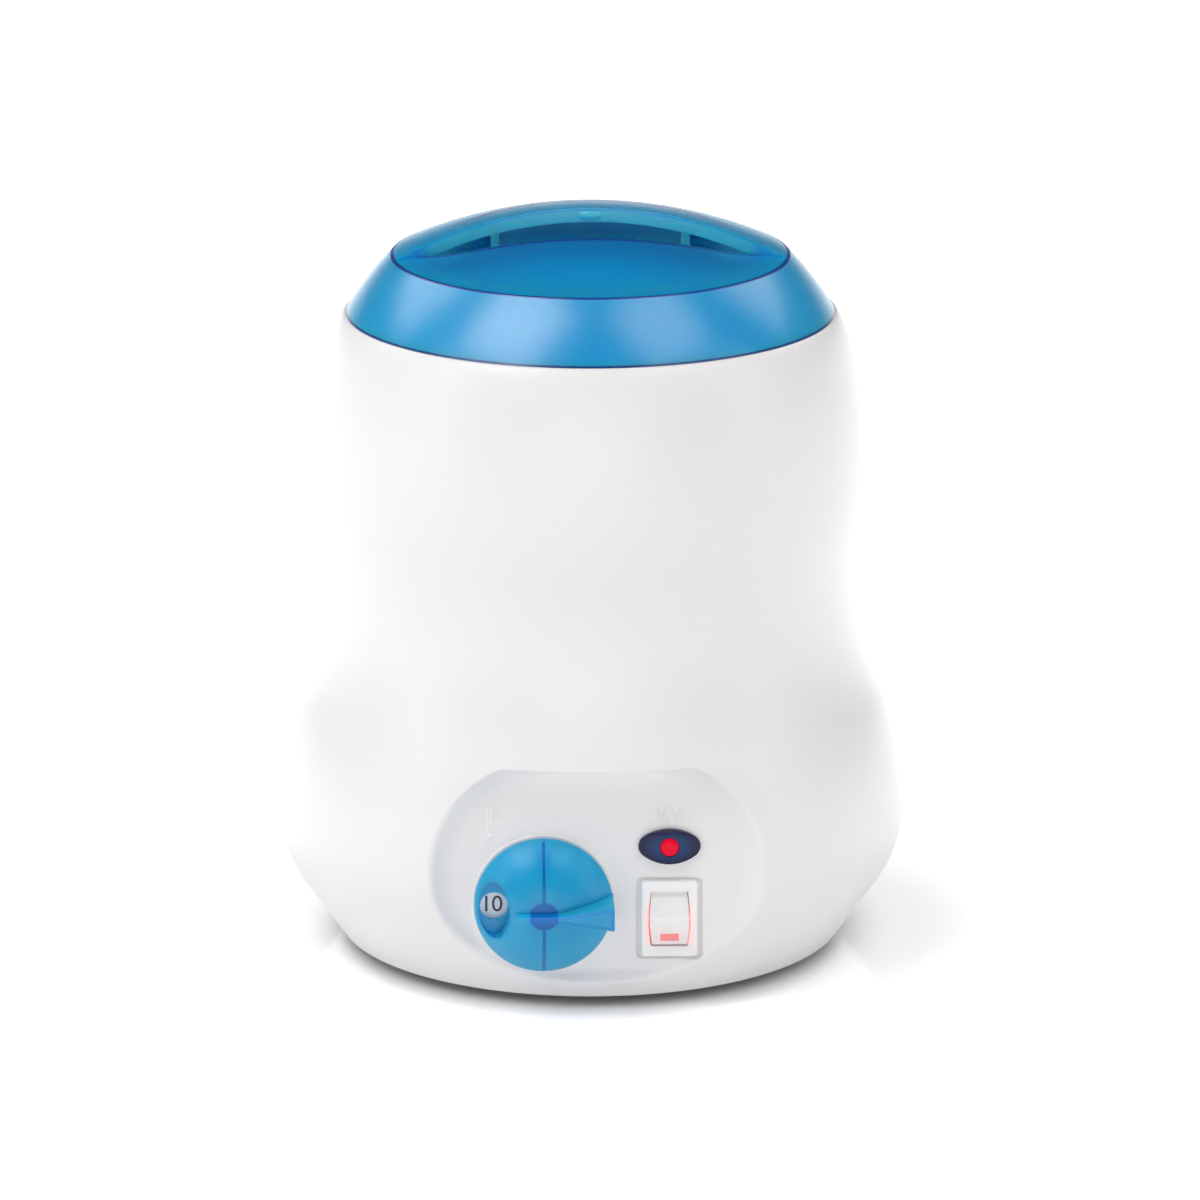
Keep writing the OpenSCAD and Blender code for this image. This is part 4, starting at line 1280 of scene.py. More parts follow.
class Workshop:
    """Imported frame, finishes and growth trees that every sub-assembly works with."""

    def __init__(self, frame: dict) -> None:
        """Sets out the workshop.
        """
        self.nodes: dict[str, Piece] = frame["nodes"]
        self.wardrobe = Wardrobe()
        self.ring = RingTree()
        self.sweep = SweepTree()

    def material(self, finish: str) -> Material:
        """Material of a finish."""
        return self.wardrobe.materials[finish]

    def present(self, piece: Piece, finish: str, slot: str, *stands_for: str, body: Body = Body.ROOT,
                angle: float = 32.0) -> None:
        """Shades and dresses a new piece and sets it on its body.

        Args:
            piece: Finished mesh.
            finish: Name of its finish.
            slot: Material slot of the record; not used.
            *stands_for: CAD nodes that the piece stands for.
            body: Body that it rides on.
            angle: Edges past this stay sharp, in degrees.
        """
        shade(piece, angle)
        self.wardrobe.dress(piece, finish)
        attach(piece, body.value)
        if stands_for:
            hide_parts(*stands_for)
        LOG.info("%s: %d faces", piece.name, len(piece.data.polygons))

    def keep(self, finish: str, *nodes: str) -> None:
        """Dresses CAD nodes whose own shape is kept.

        Args:
            finish: Name of their finish.
            *nodes: Names of the nodes.
        """
        for node in nodes:
            self.wardrobe.dress(self.nodes[node], finish)
            LOG.info("%s: kept from the frame", node)


def merged(parts: Sequence[Piece]) -> Piece:
    """Adds closed parts to the first of them.

    Args:
        parts: The parts.

    Returns:
        The first part.
    """
    base = parts[0]
    for part in parts[1:]:
        combine(base, part, Join.ADD)
    return base


def gathered(parts: Sequence[Piece]) -> Piece:
    """Puts parts that don't touch into one mesh, as one tool.

    Args:
        parts: Closed parts that stand apart.

    Returns:
        The first part, with the others in its mesh.
    """
    with edited(parts[0].data) as bm:
        for part in parts[1:]:
            bm.from_mesh(part.data)
    for part in parts[1:]:
        bpy.data.objects.remove(part)
    return parts[0]


@dataclass(frozen=True)
class CasingForm:
    """Outer line of the casing, of arcs that meet tangent, and the recess for the panel."""

    bulge_r: float = 86.1
    bulge_z: float = 38.5
    belly_r: float = 34.5
    foot_slope: float = 35.0
    waist_r: float = 71.85
    waist_z: float = 101.5
    chest_r: float = 74.55
    chest_z: float = 134.5
    crown_r: float = 118.0
    crown_angle: float = 16.0
    brow_r: float = 35.7
    shoulder_z: float = 174.9
    bottom: float = 3.0
    wall: float = 2.5
    floor_round: float = 2.4
    rim_round: float = 1.8
    wall_rise: float = 2.4

    def radius(self, z: float) -> float:
        """Radius of the outside at a height.

        Args:
            z: The height.

        Returns:
            The radius there.
        """
        def bend(end: float, middle: float, r: float, way: int = 1) -> float:
            """Arc that bulges out to a radius at a height, or draws in to it where the way is -1."""
            return end - way * (r - math.sqrt(max(r**2 - (z - middle) ** 2, 0)))

        def tangent(narrow: float, wide: float, rise: float) -> float:
            """Radius of the two equal arcs that lead from one radius to another."""
            return rise / math.sin(2 * math.atan((wide - narrow) / rise)) / 2

        foot, crown = math.radians(self.foot_slope), math.radians(self.crown_angle)
        foot_z = self.bulge_z - self.belly_r * math.sin(foot)
        flank_rise, chest_rise = self.waist_z - self.bulge_z, self.chest_z - self.waist_z
        flank_r = tangent(self.waist_r, self.bulge_r, flank_rise)
        chest_r = tangent(self.waist_r, self.chest_r, chest_rise)
        brow_x = self.chest_r - self.crown_r + (self.crown_r - self.brow_r) * math.cos(crown)
        brow_z = self.chest_z + (self.crown_r - self.brow_r) * math.sin(crown)
        runs = (
            (foot_z, self.bulge_r - self.belly_r * (1 - math.cos(foot)) - (foot_z - z) * math.tan(foot)),
            (self.bulge_z, bend(self.bulge_r, self.bulge_z, self.belly_r)),
            (self.bulge_z + flank_rise / 2, bend(self.bulge_r, self.bulge_z, flank_r)),
            (self.waist_z, bend(self.waist_r, self.waist_z, flank_r, -1)),
            (self.waist_z + chest_rise / 2, bend(self.waist_r, self.waist_z, chest_r, -1)),
            (self.chest_z, bend(self.chest_r, self.chest_z, chest_r)),
            (self.chest_z + self.crown_r * math.sin(crown), bend(self.chest_r, self.chest_z, self.crown_r)))
        brow = bend(brow_x + self.brow_r, brow_z, self.brow_r)
        return next((line for limit, line in runs if z < limit), brow)

    def recess(self, x: np.ndarray, z: np.ndarray, panel: Panel) -> np.ndarray:
        """Height of the recess over the panel's plane.

        Args:
            x: Sideways places.
            z: Heights.
            panel: The panel.

        Returns:
            Height of the floor, the sloping ends and the lower slope.
        """
        away = np.hypot(np.maximum(np.abs(x) - panel.span / 2, 0), z - panel.z) - panel.floor_r
        side = panel.slope * away + self.wall_rise * np.maximum(away - panel.slope_reach, 0)
        side = side - np.where(z > panel.z, 6 * (1 - smooth_step(8, 18, np.abs(x))), 0)
        low = (panel.bottom - z) * panel.bottom_slope
        return soft_max(soft_max(side, low, 2.0), np.zeros_like(side), self.floor_round)


@dataclass
class CasingShell:
    """Moulded casing with its panel recess, shoulder, collar, openings and inner bosses."""

    form: CasingForm = CasingForm()
    panel: Panel = Panel()
    half_front: float = 52.0
    column_marks: tuple[float, ...] = (0.0, 14.0, 45.0)
    column_counts: tuple[int, ...] = (15, 84, 8)
    row_marks: tuple[float, ...] = (14.0, 38.0)
    row_counts: tuple[int, ...] = (30, 26, 82)
    back_steps: int = 110
    ledge_round: float = 1.0
    ledge_depth: float = 1.5
    ledge_steps: tuple[float, ...] = (0.0, 0.06, 0.2, 0.42, 0.7, 1.0)
    collar: tuple[Spot, ...] = (
        (63.2, 174.9), (63.0, 175.0), (61.5, 177.2), (61.2, 177.4), (56.7, 177.4), (56.5, 177.2), (56.5, 174.9),
        (58.75, 174.9))
    boss_at: Spot = (53.5, 19.5)
    boss: Point = (4.0, 6.0, 26.0)
    screw_bore: Point = (1.5, 5.0, 22.0)
    inlet_z: float = 24.5
    inlet_pad: Point = (10.5, 75.0, 79.5)
    inlet_sink: Point = (8.3, 78.0, 95.0)
    inlet_bore: Point = (5.5, 66.0, 79.0)
    dial_bore: Point = (4.8, -4.0, 2.0)
    lamp_bore: Point = (4.0, -4.0, 2.0)
    screw_sink: tuple[Spot, ...] = ((0, -4), (1.8, -4), (1.8, -1.8), (3.6, 0), (3.6, 1), (0, 1))
    screw_apart: float = 11.0
    switch_pocket: Point = (17.4, 22.6, 1.6)
    switch_flare: float = 0.42
    switch_rim: Point = (18.2, 23.4, 2.0)
    switch_half: Spot = (6.5, 9.5)

    def columns(self) -> np.ndarray:
        """Sideways places of the front's columns, close together where the recess has its rim."""
        half = spaced((*self.column_marks, self.half_front), self.column_counts)
        return np.concatenate([-half[:0:-1], half])

    def ring(self, z: float, height: np.ndarray, scale: float = 1.0) -> list[Point]:
        """Closed ring of points round the casing.

        Args:
            z: Height of the ring.
            height: Distance of the front columns over the panel's plane.
            scale: Radial scale, for the inner skin.

        Returns:
            The ring, counterclockwise from above, starting at the front left.
        """
        x = self.columns()
        front = [(a * scale, (-self.panel.y - b) * scale, z) for a, b in zip(x, height)]
        y = -self.panel.y - height[-1]
        r = math.hypot(self.half_front, y)
        start = math.atan2(y, self.half_front)
        turns = np.linspace(start, math.pi - start, self.back_steps + 1)[1:-1]
        return front + [(r * math.cos(t) * scale, r * math.sin(t) * scale, z) for t in turns]

    def plain_height(self, radius: float) -> np.ndarray:
        """Distance over the panel's plane of a plain circle at the front columns."""
        return np.sqrt(radius**2 - self.columns() ** 2) - self.panel.y

    def panel_height(self, z: float, lift: float = 0.0) -> np.ndarray:
        """Distance over the panel's plane under the ledge.

        Args:
            z: Height.
            lift: How much higher the ledge stands, for the inner skin.

        Returns:
            The distance at each front column.
        """
        x = self.columns()
        body = self.plain_height(self.form.radius(z))
        level = np.full_like(x, z - lift * smooth_step(self.panel.z, self.panel.top, z))
        return soft_min(body, self.form.recess(x, level, self.panel), self.form.rim_round)

    def rings(self) -> list[list[Point]]:
        """Follows the whole skin, up the outside, over the collar and down the inside.

        Returns:
            The rings, each with as many points as the others.
        """
        form, top = self.form, self.panel.top
        rows = spaced((form.bottom, *self.row_marks, top), self.row_counts)
        rings = [self.ring(z, self.panel_height(z)) for z in rows]
        depth = np.clip((self.plain_height(form.radius(top)) - self.panel_height(top)) / self.ledge_depth, 0, 1)
        for t in self.ledge_steps:
            inset = self.ledge_round * (1 - math.sqrt(1 - (1 - t) ** 2)) * depth
            z = top + t * self.ledge_round
            rings.append(self.ring(z, self.plain_height(form.radius(z)) - inset))
        for z in np.linspace(top + self.ledge_round, form.shoulder_z - 0.5, 48)[1:]:
            rings.append(self.ring(z, self.plain_height(form.radius(z))))
        edge = form.radius(form.shoulder_z)
        for r, z in ((edge - 0.1, form.shoulder_z - 0.13), (edge - 0.5, form.shoulder_z), *self.collar,
                     (edge - 6.6, form.shoulder_z - form.wall)):
            rings.append(self.ring(z, self.plain_height(r)))
        lid_z = top + form.wall
        for z in np.linspace(form.shoulder_z - form.wall - 0.8, lid_z, 20):
            r = form.radius(z)
            rings.append(self.ring(z, self.plain_height(r), 1 - form.wall / r))
        for z in np.linspace(lid_z, form.bottom, 24):
            r = form.radius(z)
            rings.append(self.ring(z, self.panel_height(z, form.wall), 1 - form.wall / r))
        return rings

    def corners(self) -> list[Spot]:
        """Places of the four bosses."""
        return [(self.boss_at[0] * sx, self.boss_at[1] * sy) for sx in (-1, 1) for sy in (-1, 1)]

    def at_inlet(self, piece: Piece) -> Piece:
        """Stands a piece on the back wall where the cord goes in."""
        return place(piece, Matrix(((1, 0, 0, 0), (0, 0, 1, 0), (0, -1, 0, self.inlet_z), (0, 0, 0, 1))))

    def bosses(self) -> Piece:
        """Makes the bosses for the base screws and the pad of the cord inlet, which reach into the wall.

        Returns:
            The parts as one tool.
        """
        parts = [disc_tool("boss", *self.boss, corner) for corner in self.corners()]
        return gathered([*parts, self.at_inlet(disc_tool("pad", *self.inlet_pad))])

    def openings(self) -> Piece:
        """Makes everything that is cut through the finished wall.

        Returns:
            The parts as one tool.
        """
        parts = [disc_tool("bore", *self.screw_bore, corner) for corner in self.corners()]
        inlet = merged([disc_tool("inlet", *self.inlet_sink), disc_tool("inlet_bore", *self.inlet_bore)])
        parts.append(self.at_inlet(inlet))
        x, z = self.panel.dial
        parts.append(place(disc_tool("dial_bore", *self.dial_bore), self.panel.at(x, z)))
        for side in (-self.screw_apart, self.screw_apart):
            parts.append(place(lathe("sink", list(self.screw_sink), 32), self.panel.at(x, z + side)))
        pocket = round_rect_outline(*self.switch_pocket, 8)
        half_x, half_y = self.switch_half
        cutout = merged([
            prism("pocket", pocket, -1, 0),
            prism("flare", pocket, -0.3, 0.3, self.switch_flare),
            block("cutout", (-half_x, -half_y, -4), (half_x, half_y, -0.5)),
            prism("rim", round_rect_outline(*self.switch_rim, 8), 0.25, 4)])
        parts.append(place(cutout, self.panel.at(*self.panel.switch)))
        parts.append(place(disc_tool("lamp_bore", *self.lamp_bore), self.panel.at(*self.panel.lamp)))
        return gathered(parts)

    def build(self, shop: Workshop) -> None:
        """Builds the casing.

        Args:
            shop: The workshop.
        """
        shell = stack("casing_shell", self.rings(), closed=True)
        combine(shell, self.bosses(), Join.ADD)
        combine(shell, self.openings(), Join.CUT)
        shop.present(shell, "casing_plastic", "casing_white", "casing")


@dataclass
class PanelMarks:
    """Raised pictures in the panel: a thermometer over the dial and a heater's zigzag over the lamp, in a lighter copy
    of the casing plastic as a painted highlight.
    """

    panel: Panel = Panel()
    stroke: float = 0.34
    stem_at: Spot = (-28.9, 49.0)
    stem_height: float = 7.2
    stem_width: float = 0.9
    stem_step: float = 1.8
    bulb_r: float = 0.85
    bulb_at: Spot = (0.2, -0.2)
    ticks: int = 5
    tick_at: Spot = (1.5, 2.4)
    tick_pitch: float = 1.1
    tick_length: float = 1.7
    zigzag_at: Spot = (19.6, 54.3)
    zigzag_width: float = 11.4
    zigzag_height: float = 3.7
    zigzag_lead: float = 1.7
    peaks: int = 8

    def thermometer(self) -> list[list[Point]]:
        """Draws the thermometer's stem and ticks.

        Returns:
            Its lines.
        """
        (x, z), y = self.stem_at, -self.panel.y
        top, side = z + self.stem_height, x + self.stem_width
        lines = [[(x, y, z), (x, y, top)], [(side, y, z + self.stem_step), (side, y, top)]]
        lines.append([(x, y, top), (side, y, top)])
        for k in range(self.ticks):
            start, height = x + self.tick_at[0], z + self.tick_at[1] + k * self.tick_pitch
            lines.append([(start, y, height), (start + self.tick_length * (0.8 if k % 2 else 1), y, height)])
        return lines

    def zigzag(self) -> list[Point]:
        """Draws the heater's zigzag with a straight lead at each end.

        Returns:
            Its points.
        """
        (x, z), y = self.zigzag_at, -self.panel.y
        half, rise, lead = self.zigzag_width / 2, self.zigzag_height / 2, self.zigzag_lead
        points = [(x - half, y, z), (x - half + lead, y, z)]
        for k in range(self.peaks):
            across = x - half + lead + (k + 0.5) * (2 * half - 2 * lead) / self.peaks
            points.append((across, y, z + (rise if k % 2 == 0 else -rise)))
        return points + [(x + half - lead, y, z), (x + half, y, z)]

    def build(self, shop: Workshop) -> None:
        """Builds both pictures.

        Args:
            shop: The workshop.
        """
        # The marks are the casing plastic, lighter as a painted highlight.
        highlight_finish = shop.material("mark_plastic")
        stem = shop.sweep.grow("mark_thermometer", self.thermometer(), self.stroke * 0.8, highlight_finish, 10)
        dome = [(self.bulb_r * math.cos(a), 0.42 * math.sin(a)) for a in np.radians(np.linspace(0, 90, 7)[:-1])]
        bulb = lathe("bulb", [(0, -0.3), *dome, (0, 0.42)], 28)
        place(bulb, self.panel.at(self.stem_at[0] + self.bulb_at[0], self.stem_at[1] + self.bulb_at[1]))
        shop.present(gathered([stem, bulb]), "mark_plastic", "casing_white", angle=50)
        zigzag = shop.sweep.grow("mark_heater", [self.zigzag()], self.stroke, highlight_finish, 10)
        shop.present(zigzag, "mark_plastic", "casing_white", angle=50)


@dataclass
class HoodedLid:
    """Translucent lid: skirt, low front dome, hood with its brim, finger pocket, grip ribs and skirt ribs."""

    rim_r: float = 66.0
    rim_z: float = 174.9
    edge_r: float = 53.8
    edge_z: float = 190.7
    bow_r: float = 83.0
    hood_z: float = 202.4
    hood_low: float = 184.0
    wall: float = 2.2
    front_rise: float = 8.2
    front_r: float = 113.0
    front_turn: float = 34.0
    front_edge: float = 50.0
    lip_y: float = 14.0
    lip_r: float = 130.0
    brim_y: float = 3.0
    brim_r: float = 125.0
    pocket_back: float = 16.0
    pocket_back_r: float = 61.2
    pocket_floor: float = 188.0
    rib_x: float = 25.7
    rib_t: float = 2.3
    rib_start: float = 0.9
    fin: Point = (12.0, 1.2, 8.0)
    fin_start: float = 2.4
    fin_z: float = 182.0
    fins: int = 8
    gate: Point = (3.3, 1.4, 1.5)
    gate_y: float = 0.5
    gate_drop: float = 2.0
    brim_t: float = 3.8
    below: float = 3.0
    low: float = 160.0
    high: float = 226.0
    segments: int = 192
    skin: float = 0.04

    def skirt(self, inset: float) -> Profile:
        """Line of the skirt from below the rim up to the edge.

        Args:
            inset: How far it is moved in.

        Returns:
            The line.
        """
        rise, run = self.edge_z - self.rim_z, self.rim_r - self.edge_r
        slope = math.degrees(math.atan2(run, rise))
        half = math.degrees(math.asin(math.hypot(run, rise) / 2 / self.bow_r))
        reach = self.bow_r * math.cos(math.radians(half))
        cx = (self.rim_r + self.edge_r) / 2 - reach * math.cos(math.radians(slope))
        cz = (self.rim_z + self.edge_z) / 2 - reach * math.sin(math.radians(slope))
        return arc(cx, cz, self.bow_r - inset, slope - half - self.below, slope + half, 16)

    def front_profile(self, inset: float) -> Profile:
        """Profile of the skirt and the front dome, closed over the axis.

        Args:
            inset: How far it is moved in.

        Returns:
            The profile.
        """
        turn = math.asin(self.front_turn / self.front_r)
        hollow_r = (self.front_edge - self.front_turn) / math.sin(turn)
        tip = self.edge_z + self.front_rise
        low = tip - self.front_r * (1 - math.cos(turn)) - hollow_r * (1 - math.cos(turn))
        turn_deg = math.degrees(turn)
        line = self.skirt(inset)
        line += arc(self.front_edge, low + hollow_r, hollow_r + inset, -90, -90 - turn_deg, 8)
        line += arc(0, tip - self.front_r, self.front_r - inset, 90 - turn_deg, 90, 18)[1:]
        return [(0, line[0][1])] + line[:-1] + [(0, line[-1][1])]

    def hood_profile(self, inset: float) -> Profile:
        """Profile of the hood, which reaches down into the front dome's solid, closed over the axis.

        Args:
            inset: How far it is moved in.

        Returns:
            The profile.
        """
        rise = self.hood_z - self.edge_z
        r = (self.edge_r**2 + rise**2) / (2 * rise)
        start = 90 - math.degrees(math.asin(self.edge_r / r)) * 0.98
        foot_r = self.edge_r - 0.08 - 0.72 * inset
        foot = [(0, self.hood_low), (foot_r, self.hood_low), (foot_r, self.edge_z - 0.1 - 0.72 * inset)]
        return foot + arc(0, self.hood_z - r, r - inset, start, 90, 24)[:-1] + [(0, self.hood_z - inset)]

    def before_brim(self, back: float) -> Piece:
        """Tool for the space in front of the hood's brim, reaching a little further back."""
        outline = arc(0, self.brim_y - self.brim_r, self.brim_r + back, 0, 360, 720)[:-1]
        return prism("before_brim", outline, self.low, self.high)

    def hood(self, inset: float) -> Piece:
        """Solid of the hood over its whole circle, moved in by an inset."""
        return lathe("lid_hood", self.hood_profile(inset), self.segments)

    def body(self, inset: float) -> Piece:
        """Solid under the outer skin, moved in by an inset."""
        front = lathe("hooded_lid", self.front_profile(inset), self.segments)
        return combine(front, combine(self.hood(inset), self.before_brim(inset), Join.CUT), Join.ADD)

    def mouth(self) -> Piece:
        """Hollow of the finger pocket: open in front of the brim and roofed by the hood behind it.

        Returns:
            The tool.
        """
        under = combine(self.hood(self.wall + 0.02), self.before_brim(self.wall), Join.CUT)
        combine(under, self.hood(self.brim_t), Join.ADD)
        roof = block("roof", (-80, -60, self.low + 10), (80, 80, self.high - 2))
        combine(roof, self.before_brim(-0.02), Join.CUT)
        combine(roof, under, Join.CUT)
        return combine(prism("mouth", self.pocket_plan(0), self.pocket_floor, self.high - 4), roof, Join.CUT)

    def pocket_plan(self, grow: float) -> Profile:
        """Outline of the finger pocket between its lip and its back.

        Args:
            grow: How far it is grown.

        Returns:
            The closed outline.
        """
        front_y, back_y = self.lip_r - self.lip_y, self.pocket_back - self.pocket_back_r
        front_r, back_r = self.lip_r + grow, self.pocket_back_r + grow
        span = front_y - back_y
        cross = (front_r**2 - back_r**2 + span**2) / (2 * span)
        tip = math.degrees(math.atan2(math.sqrt(front_r**2 - cross**2), cross))
        back_tip = math.degrees(math.atan2(math.sqrt(front_r**2 - cross**2), span - cross))
        line = arc(0, front_y, front_r, -90 - tip, -90 + tip, 80)
        return line[:-1] + arc(0, back_y, back_r, 90 - back_tip, 90 + back_tip, 80)[:-1]

    def build(self, shop: Workshop) -> None:
        """Builds the lid.

        Args:
            shop: The workshop.
        """
        lid = self.body(0)
        combine(lid, self.body(self.wall), Join.CUT)
        pocket = prism("pocket", self.pocket_plan(self.wall), self.pocket_floor - self.wall, self.high - 1)
        combine(lid, combine(pocket, self.body(self.skin), Join.KEEP), Join.ADD)
        combine(lid, self.mouth(), Join.CUT)
        ribs = gathered([
            block("rib", (s * self.rib_x - self.rib_t / 2, -20, self.pocket_floor - 1),
                  (s * self.rib_x + self.rib_t / 2, 17, self.high + 2)) for s in (-1, 1)])
        combine(ribs, self.before_brim(self.rib_start), Join.CUT)
        combine(lid, combine(ribs, self.hood(2 * self.skin), Join.KEEP), Join.ADD)
        long, thick, tall = self.fin
        fin = block("fin", (0, -thick / 2, self.fin_z), (long, thick / 2, self.fin_z + tall))
        fins = shop.ring.grow("skirt_ribs", fin, self.fins, self.edge_r - self.fin_start, 0, 360 / self.fins,
                              shop.material("lid_plastic"))
        limit = lathe("fin_limit", self.front_profile(2 * self.skin), self.segments)
        combine(lid, combine(fins, limit, Join.KEEP), Join.ADD)
        gate = lathe("gate", arc(0, 0, 1, -90, 90, 16), 40)
        spot = Matrix.Translation((0, self.brim_y + self.gate_y, self.hood_z - self.gate_drop))
        combine(lid, place(gate, spot @ Matrix.Diagonal((*self.gate, 1))), Join.ADD)
        combine(lid, block("below", (-90, -90, self.low - 10), (90, 90, self.rim_z)), Join.CUT)
        tidy_mesh(lid, 0.002)
        shop.present(lid, "lid_plastic", "lid_blue", "lid", body=Body.LID, angle=28)


@dataclass
class DialKnob:
    """Translucent knob with its hub, ribs, pocket, window and wedge grip, and the scale disc behind it."""

    panel: Panel = Panel()
    rim_r: float = 18.4
    gap: float = 2.2
    edge: float = 0.8
    dome: float = 10.0
    wall: float = 1.6
    disc_r: float = 18.9
    disc_t: float = 1.0
    hub_r: float = 3.9
    rib_t: float = 1.2
    reach: float = 13.2
    window_r: float = 3.75
    grip_top: float = 16.2
    bore: Spot = (3.02, 9.2)
    digit_height: float = 4.4
    scale_step: float = 28.0
    segments: int = 144

    def dome_line(self, inset: float) -> Profile:
        """Arc of the dome from its rim to the axis.

        Args:
            inset: How far it is moved in.

        Returns:
            The arc.
        """
        r = (self.rim_r**2 + self.dome**2) / (2 * self.dome)
        middle = self.gap + self.edge + self.dome - r
        low = math.degrees(math.asin((self.gap + self.edge - middle) / (r - inset)))
        return arc(0, middle, r - inset, low, 90, 28)

    def dome_solid(self, inset: float) -> Piece:
        """Solid under the dome."""
        line = self.dome_line(inset)
        return lathe("dome", [(0, -1), (line[0][0], -1)] + line[:-1] + [(0, line[-1][1])], self.segments)

    def shell(self) -> Piece:
        """Domed wall, open at the back.

        Returns:
            The wall.
        """
        outer, inner = self.dome_line(0), self.dome_line(self.wall)
        profile = [(inner[0][0], self.gap), (self.rim_r, self.gap)] + outer[:-1] + [(0, outer[-1][1])]
        return lathe("dial_knob", profile + [(0, inner[-1][1])] + inner[::-1][1:], self.segments)

    def grip_plan(self, inset: float) -> Profile:
        """Outline of the wedge grip.

        Args:
            inset: How far it is moved in.

        Returns:
            The closed outline.
        """
        end = self.rim_r + 0.2 - inset
        side = 3.2 - inset
        low = inset / 3
        return [(-7.4 + inset, -0.8 + low), (4, -1 + low), (end, -side), (end, side), (4, 1 - low),
                (-7.4 + inset, 0.8 - low)]

    def grip(self) -> Piece:
        """Wedge grip, hollow from below.

        Returns:
            The grip.
        """
        wedge = prism("grip", self.grip_plan(0), self.gap + 0.02, self.grip_top)
        x = self.hub_r + 0.8
        half = self.grip_plan(1.3)
        slope = (half[2][1] - half[1][1]) / (half[2][0] - half[1][0])
        y = half[1][1] + slope * (x - half[1][0])
        hollow = prism("grip_hollow", [(x, y), half[2], half[3], (x, -y)], self.gap - 1, self.grip_top - 1.4)
        return soften(combine(wedge, hollow, Join.CUT), 0.25, 40)

    def inner_parts(self) -> Piece:
        """Hub, ribs and the pocket's wall, all under the dome.

        Returns:
            The parts as one.
        """
        low = self.gap + 0.6
        parts = [
            disc_tool("hub", self.hub_r, self.disc_t + 0.6, 20),
            block("rib", (-self.rib_t / 2, -self.rim_r + 0.6, low), (self.rib_t / 2, self.rim_r - 0.6, 20)),
            block("side_rib", (-self.reach, -self.rib_t / 2, low), (0, self.rib_t / 2, 20)),
            prism("cup", [(x - self.reach, y) for x, y in oval_outline(5, 8.6, 13)], self.gap + 0.01, 20)]
        return combine(merged(parts), self.dome_solid(0.3), Join.KEEP)

    def build(self, shop: Workshop) -> None:
        """Builds the knob, the disc and its numbers.

        Args:
            shop: The workshop.
        """
        knob = combine(self.shell(), self.inner_parts(), Join.ADD)
        combine(knob, self.grip(), Join.ADD)
        opening = [(x - self.reach, y) for x, y in oval_outline(4.2, 7.8, 12)]
        combine(knob, prism("pocket", opening, self.gap + self.edge, 20), Join.CUT)
        combine(knob, disc_tool("window", self.window_r, 0, 10, (-self.reach, 0)), Join.CUT)
        combine(knob, disc_tool("bore", self.bore[0], 0, self.bore[1]), Join.CUT)
        tidy_mesh(knob, 0.006)
        place(knob, self.panel.at(*self.panel.dial))
        shop.present(knob, "dial_plastic", "dial_blue", "dial", body=Body.DIAL, angle=30)
        self.scale(shop)

    def scale(self, shop: Workshop) -> None:
        """Builds the scale disc and its numbers.

        Args:
            shop: The workshop.
        """
        disc = lathe("scale_disc", [(5.2, 0), (self.disc_r, 0), (self.disc_r, self.disc_t - 0.2),
                                    (self.disc_r - 0.2, self.disc_t), (5.2, self.disc_t)], 128)
        place(disc, self.panel.at(*self.panel.dial))
        shop.present(disc, "scale_print", "scale_white", "dial_scale_disc")
        digits = []
        for number in range(11):
            turn = math.radians(180 + (10 - number) * self.scale_step)
            digit = raised_text(f"digit_{number}", str(number), self.digit_height, 0.08)
            x, z = self.panel.dial
            spot = self.panel.at(x + self.reach * math.cos(turn), z + self.reach * math.sin(turn), self.disc_t - 0.01)
            digits.append(place(digit, spot))
        numbers = gathered(digits)
        numbers.name = "scale_numbers"
        shop.present(numbers, "number_ink", "scale_white")


